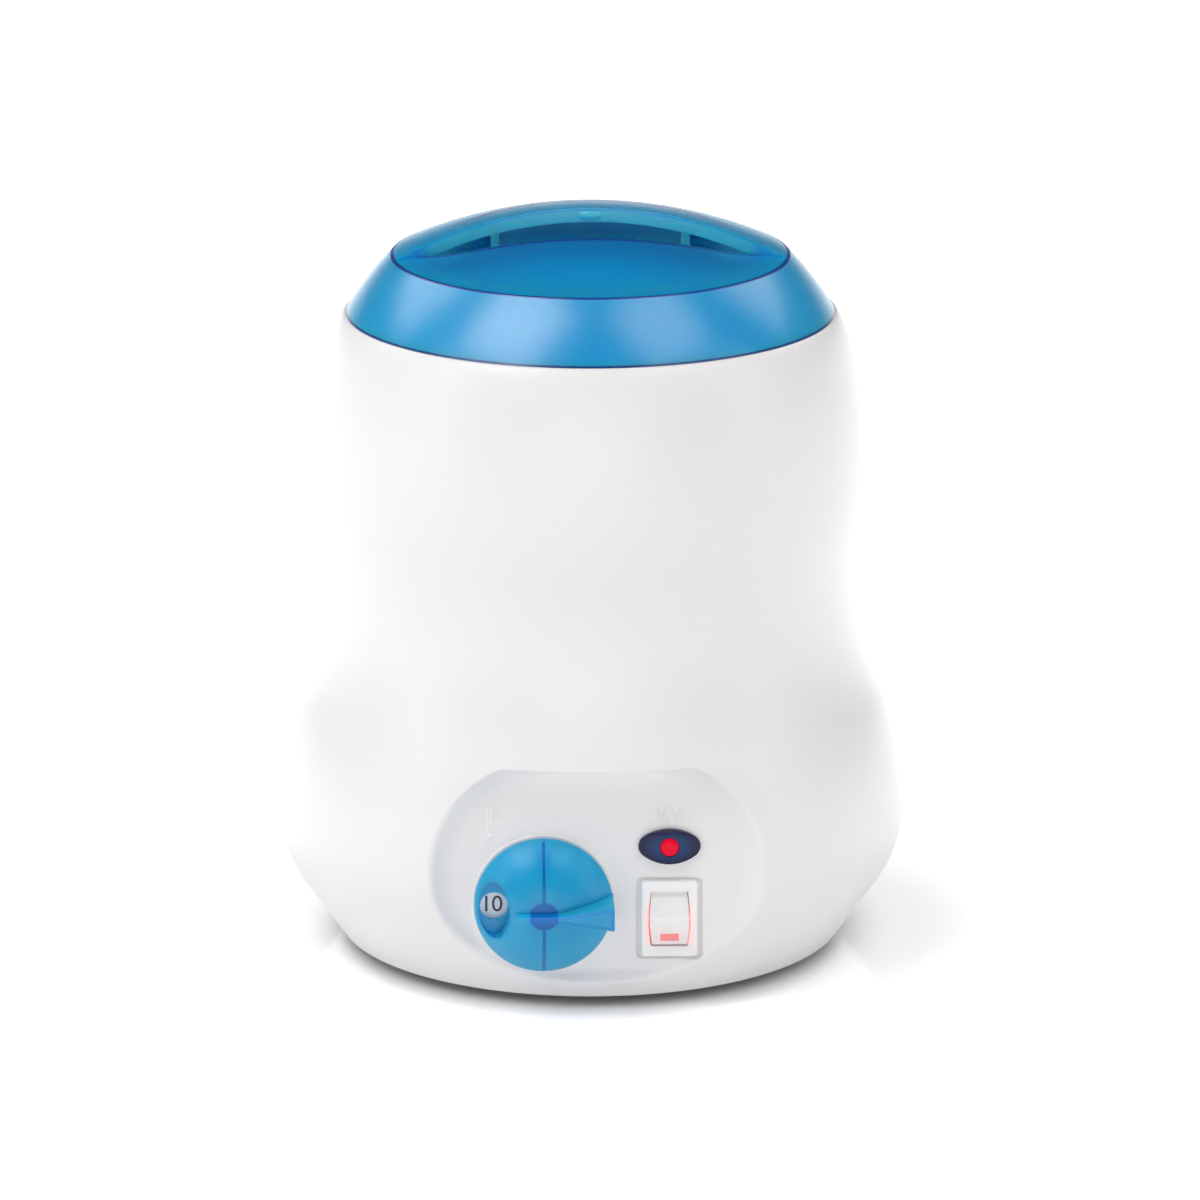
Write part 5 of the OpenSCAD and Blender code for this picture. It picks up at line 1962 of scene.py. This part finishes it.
@dataclass
class RockerSwitch:
    """Bezel with its body, rocker with barrelled sides and a ridge, and the red window in the rocker's foot."""

    panel: Panel = Panel()
    width: float = 15.0
    height: float = 21.0
    front: float = 1.4
    corner: float = 1.0
    edge: float = 0.6
    body_depth: float = 17.0
    body_half: Spot = (6.5, 9.5)
    pivot: float = -0.5
    half_width: float = 5.2
    end_r: float = 7.25
    barrel: float = 49.0
    gap: float = 0.25
    ridge: float = 3.5
    ridge_r: float = 4.0
    fall: float = 12.0
    tilt: float = 11.0
    pin_r: float = 1.2
    window: tuple[float, float, float] = (2.45, -6.0, -4.15)

    def barrelled(self, grow: float) -> Profile:
        """Outline of the rocker from the front.

        Args:
            grow: How far it is grown.

        Returns:
            The closed outline.
        """
        r, half = self.barrel + grow, self.end_r + grow
        turn = math.degrees(math.asin(half / r))
        middle = self.barrel - self.half_width
        return arc(-middle, 0, r, -turn, turn, 24) + arc(middle, 0, r, 180 - turn, 180 + turn, 24)

    def bezel(self) -> Piece:
        """Bezel with a rounded edge, its body, the rocker's opening and the pin's bore.

        Returns:
            The bezel.
        """
        levels = [(0.0, -1.0), (0.0, self.front - self.edge)]
        levels += [(self.edge * (1 - math.cos(a)), self.front - self.edge * (1 - math.sin(a)))
                   for a in np.radians((15, 35, 55, 75, 90))]
        rings = [[(x, y, z) for x, y in round_rect_outline(self.width - 2 * i, self.height - 2 * i,
                                                          self.corner - i * 0.5, 6)] for i, z in levels]
        bezel = stack("switch_bezel", rings)
        x, y = self.body_half
        combine(bezel, block("body", (-x, -y, -self.body_depth), (x, y, -0.9)), Join.ADD)
        lip = [(0.0, self.pivot - 5.5), (0.0, self.front - 0.3), (0.08, self.front - 0.12), (0.3, self.front),
               (0.3, self.front + 2)]
        opening = stack("opening", [[(px, py, z) for px, py in self.barrelled(self.gap + g)] for g, z in lip])
        combine(bezel, opening, Join.CUT)
        return combine(bezel, self.pin(self.pin_r + 0.06, 6.3), Join.CUT)

    def pin(self, radius: float, half: float) -> Piece:
        """Pin or bore across the switch at the pivot."""
        pin = disc_tool("pin", radius, -half, half)
        return place(pin, Matrix(((0, 0, 1, 0), (0, 1, 0, 0), (-1, 0, 0, self.pivot), (0, 0, 0, 1))))

    def blank(self, name: str) -> Piece:
        """Rocker about its pivot, before its tilt.

        Args:
            name: Name of the piece.

        Returns:
            The solid rocker.
        """
        slope = math.radians(self.fall)
        crest = arc(0, 0, self.ridge_r, 90 - self.fall, 90 + self.fall, 8)
        side = [(y, z - self.ridge_r + self.ridge) for y, z in crest]
        drop = (8 - side[0][0]) * math.tan(slope)
        side = [(-4, -4), (4, -4), (8, side[0][1] - drop)] + side + [(-8, side[-1][1] - drop)]
        wedge = prism(name, side, -10, 10)
        combine(wedge, disc_tool("ends", self.end_r, -11, 11), Join.KEEP)
        place(wedge, Matrix(((0, 0, 1, 0), (1, 0, 0, 0), (0, 1, 0, 0), (0, 0, 0, 1))))
        return combine(wedge, prism("sides", self.barrelled(0), -10, 10), Join.KEEP)

    def insert(self, play: float) -> Piece:
        """Space of the window in the rocker."""
        half, low, high = self.window
        return block("insert", (-half - play, low - play, -1 - play), (half + play, high + play, 12))

    def tilted(self, piece: Piece) -> Piece:
        """Presses a rocker piece in at the top and stands it on the panel."""
        turn = Matrix.Translation((0, 0, self.pivot)) @ Matrix.Rotation(math.radians(-self.tilt), 4, "X")
        return place(piece, self.panel.at(*self.panel.switch) @ turn)

    def build(self, shop: Workshop) -> None:
        """Builds the switch.

        Args:
            shop: The workshop.
        """
        bezel = place(self.bezel(), self.panel.at(*self.panel.switch))
        shop.present(bezel, "switch_plastic", "switch_white", "switch_frame", angle=35)
        rocker = soften(tidy_mesh(self.blank("rocker"), 0.01), 0.32, 35, 3)
        combine(rocker, self.insert(0.02), Join.CUT)
        pin = self.pin(self.pin_r, 6.2)
        combine(rocker, place(pin, Matrix.Translation((0, 0, -self.pivot))), Join.ADD)
        shop.present(self.tilted(rocker), "rocker_plastic", "switch_white", "switch_rocker", body=Body.ROCKER, angle=40)
        window = combine(self.blank("window"), self.insert(0), Join.KEEP)
        soften(place(window, Matrix.Translation((0, 0, -0.08))), 0.12, 40)
        shop.present(self.tilted(window), "window_red", "signal_red", "rocker_window", body=Body.ROCKER)


@dataclass
class IndicatorLamp:
    """Navy lens with its red jewel."""

    panel: Panel = Panel()
    half_width: float = 8.25
    half_height: float = 4.75
    side_r: float = 12.0
    dome_r: float = 24.0
    dome_top: float = 2.2
    jewel_r: float = 2.6
    jewel_round: float = 4.6
    jewel_top: float = 2.6
    stem_r: float = 4.0

    def build(self, shop: Workshop) -> None:
        """Builds the lens and the jewel.

        Args:
            shop: The workshop.
        """
        outline = [(-y, x) for x, y in oval_outline(self.half_height, self.half_width, self.side_r, 24)]
        lens = prism("lens", outline, 0, 4)
        low = -math.degrees(math.acos((self.dome_r - 6) / self.dome_r))
        cap = arc(0, self.dome_top - self.dome_r, self.dome_r, 90 + low * 0.8, 90, 30)
        dome = lathe("lens_dome", [(0, -1), (cap[0][0], -1)] + cap[:-1] + [(0, self.dome_top)], 128)
        combine(lens, dome, Join.KEEP)
        soften(lens, 0.35, 40, 3)
        combine(lens, disc_tool("lens_stem", self.stem_r, -5.5, 0.4), Join.ADD)
        bore = lathe("lens_bore", [(0, -7), (self.jewel_r, -7), (self.jewel_r, 1.9), (self.jewel_r + 0.35, 2.3),
                                   (self.jewel_r + 0.35, 5), (0, 5)], 64)
        combine(lens, bore, Join.CUT)
        place(lens, self.panel.at(*self.panel.lamp))
        shop.present(lens, "navy_lens", "lens_navy", "indicator_lens")
        r, tip = self.jewel_round, self.jewel_top
        top = arc(0, tip - r, r, 90 - math.degrees(math.asin(2.35 / r)), 90, 10)
        side = self.jewel_r - 0.02
        jewel = lathe("jewel", [(0, -5.5), (side, -5.5), (side, 1.55), (2.5, 1.72), *top[:-1], (0, tip)], 64)
        place(jewel, self.panel.at(*self.panel.lamp))
        shop.present(jewel, "jewel_red", "signal_red", "indicator_jewel")


@dataclass
class Underside:
    """Base plate, feet, screws and the cord inlet."""

    foot_r: float = 8.0
    foot_reach: float = 52.0
    screw_at: Spot = CasingShell.boss_at
    slot: Point = (1.8, 0.4, 4.0)

    def foot(self) -> Piece:
        """One foot round its own zero, with a rounded tread of rings and a stem with a barb.

        Returns:
            The foot.
        """
        tread = [(0, 0.35), (1.6, 0.35), (2.0, 0.0), (3.2, 0.0), (3.6, 0.35), (4.4, 0.35), (4.8, 0.0),
                 (self.foot_r - 1.4, 0.0)]
        rim = arc(self.foot_r - 1.4, 1.4, 1.4, -90, 0, 6)[1:]
        top = [(self.foot_r, 3.98), (2.5, 4.0), (2.5, 6.0), (3.2, 6.0), (2.0, 8.4), (0, 8.4)]
        return lathe("foot", tread + rim + top, 40)

    def screw(self) -> Piece:
        """One base screw round its own zero, with a domed head and a cross in it.

        Returns:
            The screw.
        """
        head = [(0, 3.3), (2.4, 3.16), (2.85, 3.45), (3.0, 3.9), (3.0, 4.5), (1.5, 4.5), (1.5, 15.6), (0.6, 16.5),
                (0, 16.5)]
        long, thin, top = self.slot
        cross = merged([block("slot", (-x, -y, 2.8), (x, y, top)) for x, y in ((long, thin), (thin, long))])
        return combine(lathe("screw", head, 36), cross, Join.CUT)

    def build(self, shop: Workshop) -> None:
        """Builds what shows from below and from behind.

        Args:
            shop: The workshop.
        """
        plate = soften(copy_of(shop.nodes["base_plate"], "base_cover"), 0.25, 40, 2)
        shop.present(plate, "base_plastic", "base_dark", "base_plate")
        feet = shop.ring.grow("feet", self.foot(), 4, self.foot_reach, 45, 90, shop.material("foot_rubber"))
        shop.present(feet, "foot_rubber", "foot_rubber", "rubber_feet", angle=40)
        reach = math.hypot(*self.screw_at)
        turn = math.degrees(math.atan2(self.screw_at[1], self.screw_at[0]))
        halves = [shop.ring.grow("screws", self.screw(), 2, reach, first, 180, shop.material("screw_steel"))
                  for first in (turn, -turn)]
        shop.present(gathered(halves), "screw_steel", "screw_steel", "base_screws", angle=40)
        gland = soften(copy_of(shop.nodes["cord_gland"], "cord_inlet_bush"), 0.3, 40, 3)
        shop.present(gland, "gland_plastic", "gland_white", "cord_gland")


@dataclass
class WaxPot:
    """Drawn aluminium pot, its seal, heater, clamps, sleeve and shield."""

    inner_r: float = 52.5
    floor_z: float = 60.0
    wall: float = 1.2
    corner: float = 6.0
    lip: float = 2.0
    flange_r: float = 60.0
    flange_z: float = 178.2

    def build(self, shop: Workshop) -> None:
        """Builds the pot and dresses what is round it.

        Args:
            shop: The workshop.
        """
        r, z, t = self.inner_r, self.floor_z, self.wall
        outer = [(0, z - t)] + arc(r - self.corner, z + self.corner, self.corner + t, -90, 0, 14)
        outer += arc(r + self.lip, self.flange_z - (self.lip - t), self.lip - t, 180, 90, 8)
        outer += arc(self.flange_r - t / 2, self.flange_z + t / 2, t / 2, -90, 90, 8)
        inner = arc(r + self.lip, self.flange_z - (self.lip - t), self.lip, 90, 180, 10)
        inner += arc(r - self.corner, z + self.corner, self.corner, 0, -90, 14) + [(0, z)]
        pot = lathe("pot", outer + inner, 160)
        shop.present(pot, "pot_aluminium", "pot_aluminium", "heating_pot", angle=40)
        seal = lathe("flange_seal", [(56.5, 177.4), (60.0, 177.4), (60.0, 178.2), (56.5, 178.2)], 128)
        shop.present(soften(seal, 0.12, 40, 2), "seal_silicone", "silicone_seal", "pot_gasket")
        shop.keep("heater_mica", "heater_band")
        shop.keep("sheet_steel", "heater_clamp", "heat_shield", "bulb_clips")
        shop.keep("sleeve_felt", "insulation_sleeve")
        shop.keep("screw_steel", "pot_spacer", "tie_rod", "tie_nuts")


@dataclass
class Electrics:
    """Thermostat, lamp holder, terminals and wiring inside the casing."""

    wire_r: float = 1.0
    lead_r: float = 0.7
    capillary_r: float = 0.8
    live: tuple[tuple[Point, ...], ...] = (
        ((-12, 38, 13), (-12, 30, 13), (-4, 20, 18), (9, 8, 22), (13, -12, 26), (14, -28, 29), (15.2, -38, 30.3),
         (15.2, -46, 30.3)),
        ((15.2, -46, 20.3), (15.2, -38, 20.3), (8, -31, 25), (-1, -28, 32), (-7, -31, 36), (-7, -38, 36)),
        ((-22, -38, 36), (-22, -30, 36), (-10, -18, 38), (8, -12, 38), (19, -2, 35), (20, 10, 34), (20, 14, 38),
         (20, 14, 44)),
        ((28, 14, 44), (28, 14, 38), (27, 22, 35), (20, 42, 38), (9, 53, 46), (6.5, 54.8, 56), (6.5, 54.8, 70)))
    neutral: tuple[tuple[Point, ...], ...] = (
        ((0, 38, 13), (0, 31, 13), (-8, 29, 20), (-15, 38, 34), (-9, 52, 44), (-6.5, 54.8, 56), (-6.5, 54.8, 70)),)
    earth: tuple[tuple[Point, ...], ...] = (
        ((12, 38, 13), (12, 31, 13), (10, 20, 18), (-6, 10, 30), (-20, 14, 36), (-22, 20, 42), (-22, 20, 49)),)
    lamp: tuple[tuple[Point, ...], ...] = (
        ((17.7, -49.5, 45.5), (17.7, -44, 45.5), (22, -36, 40), (23.2, -37, 31), (23.2, -46, 30.3)),
        ((20.7, -49.5, 45.5), (20.7, -42, 45.5), (26, -20, 36), (23, 6, 20), (14, 17, 12.5), (6, 26, 12.5),
         (4, 31, 13), (4, 38, 13)))
    capillary: tuple[tuple[Point, ...], ...] = (
        ((-14, -46, 22), (-14, -39, 22), (-24, -34, 24), (-34, -30, 34), (-42, -26, 44), (-46, -20, 52),
         (-40, -18, 55.8), (-30, -18, 55.8)),)

    @staticmethod
    def smooth(route: Sequence[Point], steps: int = 8) -> list[Point]:
        """Curve through a route's points.

        Args:
            route: Points in millimetres.
            steps: Steps between two points.

        Returns:
            The finer route.
        """
        p = np.array([route[0], *route, route[-1]], dtype=float)
        fine: list[Point] = []
        for k in range(1, len(p) - 2):
            a, b, c, d = p[k - 1], p[k], p[k + 1], p[k + 2]
            for t in np.linspace(0, 1, steps, endpoint=False):
                square, cube = 2 * a - 5 * b + 4 * c - d, 3 * b - a - 3 * c + d
                point = 0.5 * (2 * b + (c - a) * t + square * t**2 + cube * t**3)
                fine.append(tuple(point))
        return fine + [tuple(p[-2])]

    def build(self, shop: Workshop) -> None:
        """Builds the wiring and dresses the fittings.

        Args:
            shop: The workshop.
        """
        runs = (
            ("live_run", self.live, self.wire_r, "sheath_brown", "wire_brown", "live_wires"),
            ("neutral_run", self.neutral, self.wire_r, "sheath_blue", "wire_blue", "neutral_wires"),
            ("earth_run", self.earth, self.wire_r, "sheath_green", "wire_green", "earth_wire"),
            ("lamp_run", self.lamp, self.lead_r, "sheath_black", "wire_black", "lamp_leads"),
            ("capillary_run", self.capillary, self.capillary_r, "tube_copper", "copper_tube", "capillary_tube"))
        for name, routes, radius, finish, slot, node in runs:
            lines = [self.smooth(route) for route in routes]
            run = shop.sweep.grow(name, lines, radius, shop.material(finish), 12)
            shop.present(run, finish, slot, node, angle=50)
        shop.keep("tube_copper", "sensor_bulb")
        shop.keep("thermostat_resin", "thermostat_body")
        shop.keep("tab_brass", "thermostat_terminals", "switch_terminals", "thermostat_shaft", "earth_screw")
        shop.keep("screw_steel", "thermostat_screws", "dial_spring_clip", "thermal_cutout")
        shop.keep("holder_plastic", "indicator_holder")
        shop.keep("lamp_glass", "neon_lamp")
        shop.keep("block_nylon", "terminal_block")


@dataclass
class Studio:
    """White studio: world, floor, softboxes and the camera.

    The fill and the backdrop each hold where the sky's change starts and ends, as the upward part of a direction, and
    its strength before and after it.
    """

    distance: float = 1950.0
    elevation: float = 15.7
    turn: float = 1.5
    lens: float = 214.3
    aim: Point = (2.6, 0.0, 93.6)
    fill: tuple[float, ...] = (0.0, 0.5, 0.98, 0.12)
    backdrop: tuple[float, ...] = (0.0, 0.11, 1.0, 0.02)
    white: tuple[float, ...] = (1.0, 1.0, 1.0, 1.0)
    floor_size: float = 12000.0
    floor_colour: Colour = (0.95, 0.95, 0.95)
    # Painted shadow: the floor's own light fades to nothing towards the foot, darkening a ring round the warmer on top
    # of its real shadow.
    painted_shadow_ring: Span = (60.0, 87.0)
    near_light: float = 0.5
    far: Span = (82.0, 170.0)
    far_light: float = 0.7
    mirror: Span = (90.0, 200.0)
    mirror_share: float = 0.2
    mirror_blur: float = 0.08
    lit_point: Point = (0.0, 0.0, 90.0)
    lights: tuple[tuple[str, Point, float, float, float], ...] = (
        ("softbox_left", (-1520, -500, 520), 650, 1400, 4.5),
        ("softbox_right", (1520, -500, 520), 650, 1400, 3.8),
        ("high_left", (-740, -500, 1510), 900, 900, 11.0),
        ("high_right", (667, -550, 1530), 800, 800, 5.0),
        ("rim_left", (-1040, 730, 1160), 900, 700, 4.5),
        ("rim_right", (1040, 730, 1160), 900, 700, 3.5),
        ("front", (0, -1900, 350), 1400, 500, 4.2))

    def camera(self) -> None:
        """Sets the camera where the photograph was taken from."""
        up, side = math.radians(self.elevation), math.radians(self.turn)
        back = Vector((-math.sin(side) * math.cos(up), -math.cos(side) * math.cos(up), math.sin(up)))
        data = bpy.data.cameras.new("view")
        data.lens = self.lens
        data.sensor_width = 36
        data.clip_end = 100
        camera = linked("view", data)
        camera.location = (Vector(self.aim) + back * self.distance) * MM
        camera.rotation_euler = (-back).to_track_quat("-Z", "Y").to_euler()
        bpy.context.scene.camera = camera

    def world(self) -> None:
        """Light from all round, more of it from the sides, and a white backdrop for what the camera and glass see."""
        world = bpy.data.worlds.new("studio")
        bpy.context.scene.world = world
        world.use_nodes = True
        world.node_tree.nodes.clear()
        sky = Board(world.node_tree)
        rays = sky.node("ShaderNodeLightPath").outputs
        up = sky.node("ShaderNodeSeparateXYZ", {0: sky.node("ShaderNodeTexCoord").outputs["Generated"]}).outputs["Z"]
        plain = sky.math("MAXIMUM", rays["Is Camera Ray"], rays["Is Transmission Ray"])
        shown = sky.math("MAXIMUM", sky.scaled(up, *self.backdrop), plain)
        light, white = (sky.node("ShaderNodeBackground", {"Color": self.white, "Strength": strength}).outputs[0]
                        for strength in (sky.scaled(up, *self.fill), shown))
        mix = sky.node("ShaderNodeMixShader", {0: sky.seen(), 1: light, 2: white})
        sky.node("ShaderNodeOutputWorld", {"Surface": mix.outputs[0]})

    def floor(self) -> None:
        """White floor that keeps the shadow and a faint reflection, with its own light fading out towards the foot as a
        painted shadow ring.
        """
        half = self.floor_size / 2
        corners = [(-half, -half, 0), (half, -half, 0), (half, half, 0), (-half, half, 0)]
        floor = new_piece("floor", corners, [(0, 1, 2, 3)])
        sheet = Sheet("studio_floor")
        away = sheet.node("ShaderNodeVectorMath", {0: sheet.coords}, operation="LENGTH").outputs["Value"]
        # Painted shadow ring: less of the floor's own light near the foot.
        painted_shadow_ring = sheet.math("MULTIPLY", sheet.band(away, 0, self.painted_shadow_ring), self.near_light)
        lit = sheet.math("MULTIPLY_ADD", sheet.band(away, 0, self.far), self.far_light, painted_shadow_ring)
        strength = sheet.math("MULTIPLY", sheet.seen(), lit)
        diffuse = sheet.node("ShaderNodeBsdfDiffuse", {"Color": (*self.floor_colour, 1)}).outputs[0]
        light = sheet.node("ShaderNodeEmission", {"Color": self.white, "Strength": strength}).outputs[0]
        both = sheet.node("ShaderNodeAddShader", {0: diffuse, 1: light}).outputs[0]
        gloss = sheet.node("ShaderNodeBsdfGlossy", {"Color": self.white, "Roughness": self.mirror_blur}).outputs[0]
        share = sheet.scaled(away, *(end * MM for end in self.mirror), self.mirror_share, 0.0)
        mix = sheet.node("ShaderNodeMixShader", {0: share, 1: both, 2: gloss})
        floor.data.materials.append(sheet.finish(mix.outputs[0]))

    def lamps(self) -> None:
        """Softboxes that face the middle of the warmer."""
        for name, at, width, height, power in self.lights:
            data = bpy.data.lights.new(name, "AREA")
            data.shape = "RECTANGLE"
            data.size, data.size_y = width * MM, height * MM
            data.energy = power
            lamp = linked(name, data)
            lamp.location = Vector(at) * MM
            lamp.rotation_euler = (Vector(self.lit_point) * MM - lamp.location).to_track_quat("-Z", "Y").to_euler()

    def build(self) -> None:
        """Sets up the whole studio."""
        self.camera()
        self.world()
        self.floor()
        self.lamps()
        bpy.context.scene.view_settings.view_transform = "Standard"


def main() -> None:
    """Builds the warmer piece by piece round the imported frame."""
    logging.basicConfig(level=logging.INFO, format="%(name)s: %(message)s", force=True)
    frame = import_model()
    Studio().build()
    shop = Workshop(frame)
    for assembly in (CasingShell, PanelMarks, HoodedLid, DialKnob, RockerSwitch, IndicatorLamp, Underside, WaxPot,
                     Electrics):
        assembly().build(shop)


if __name__ == "__main__":
    main()
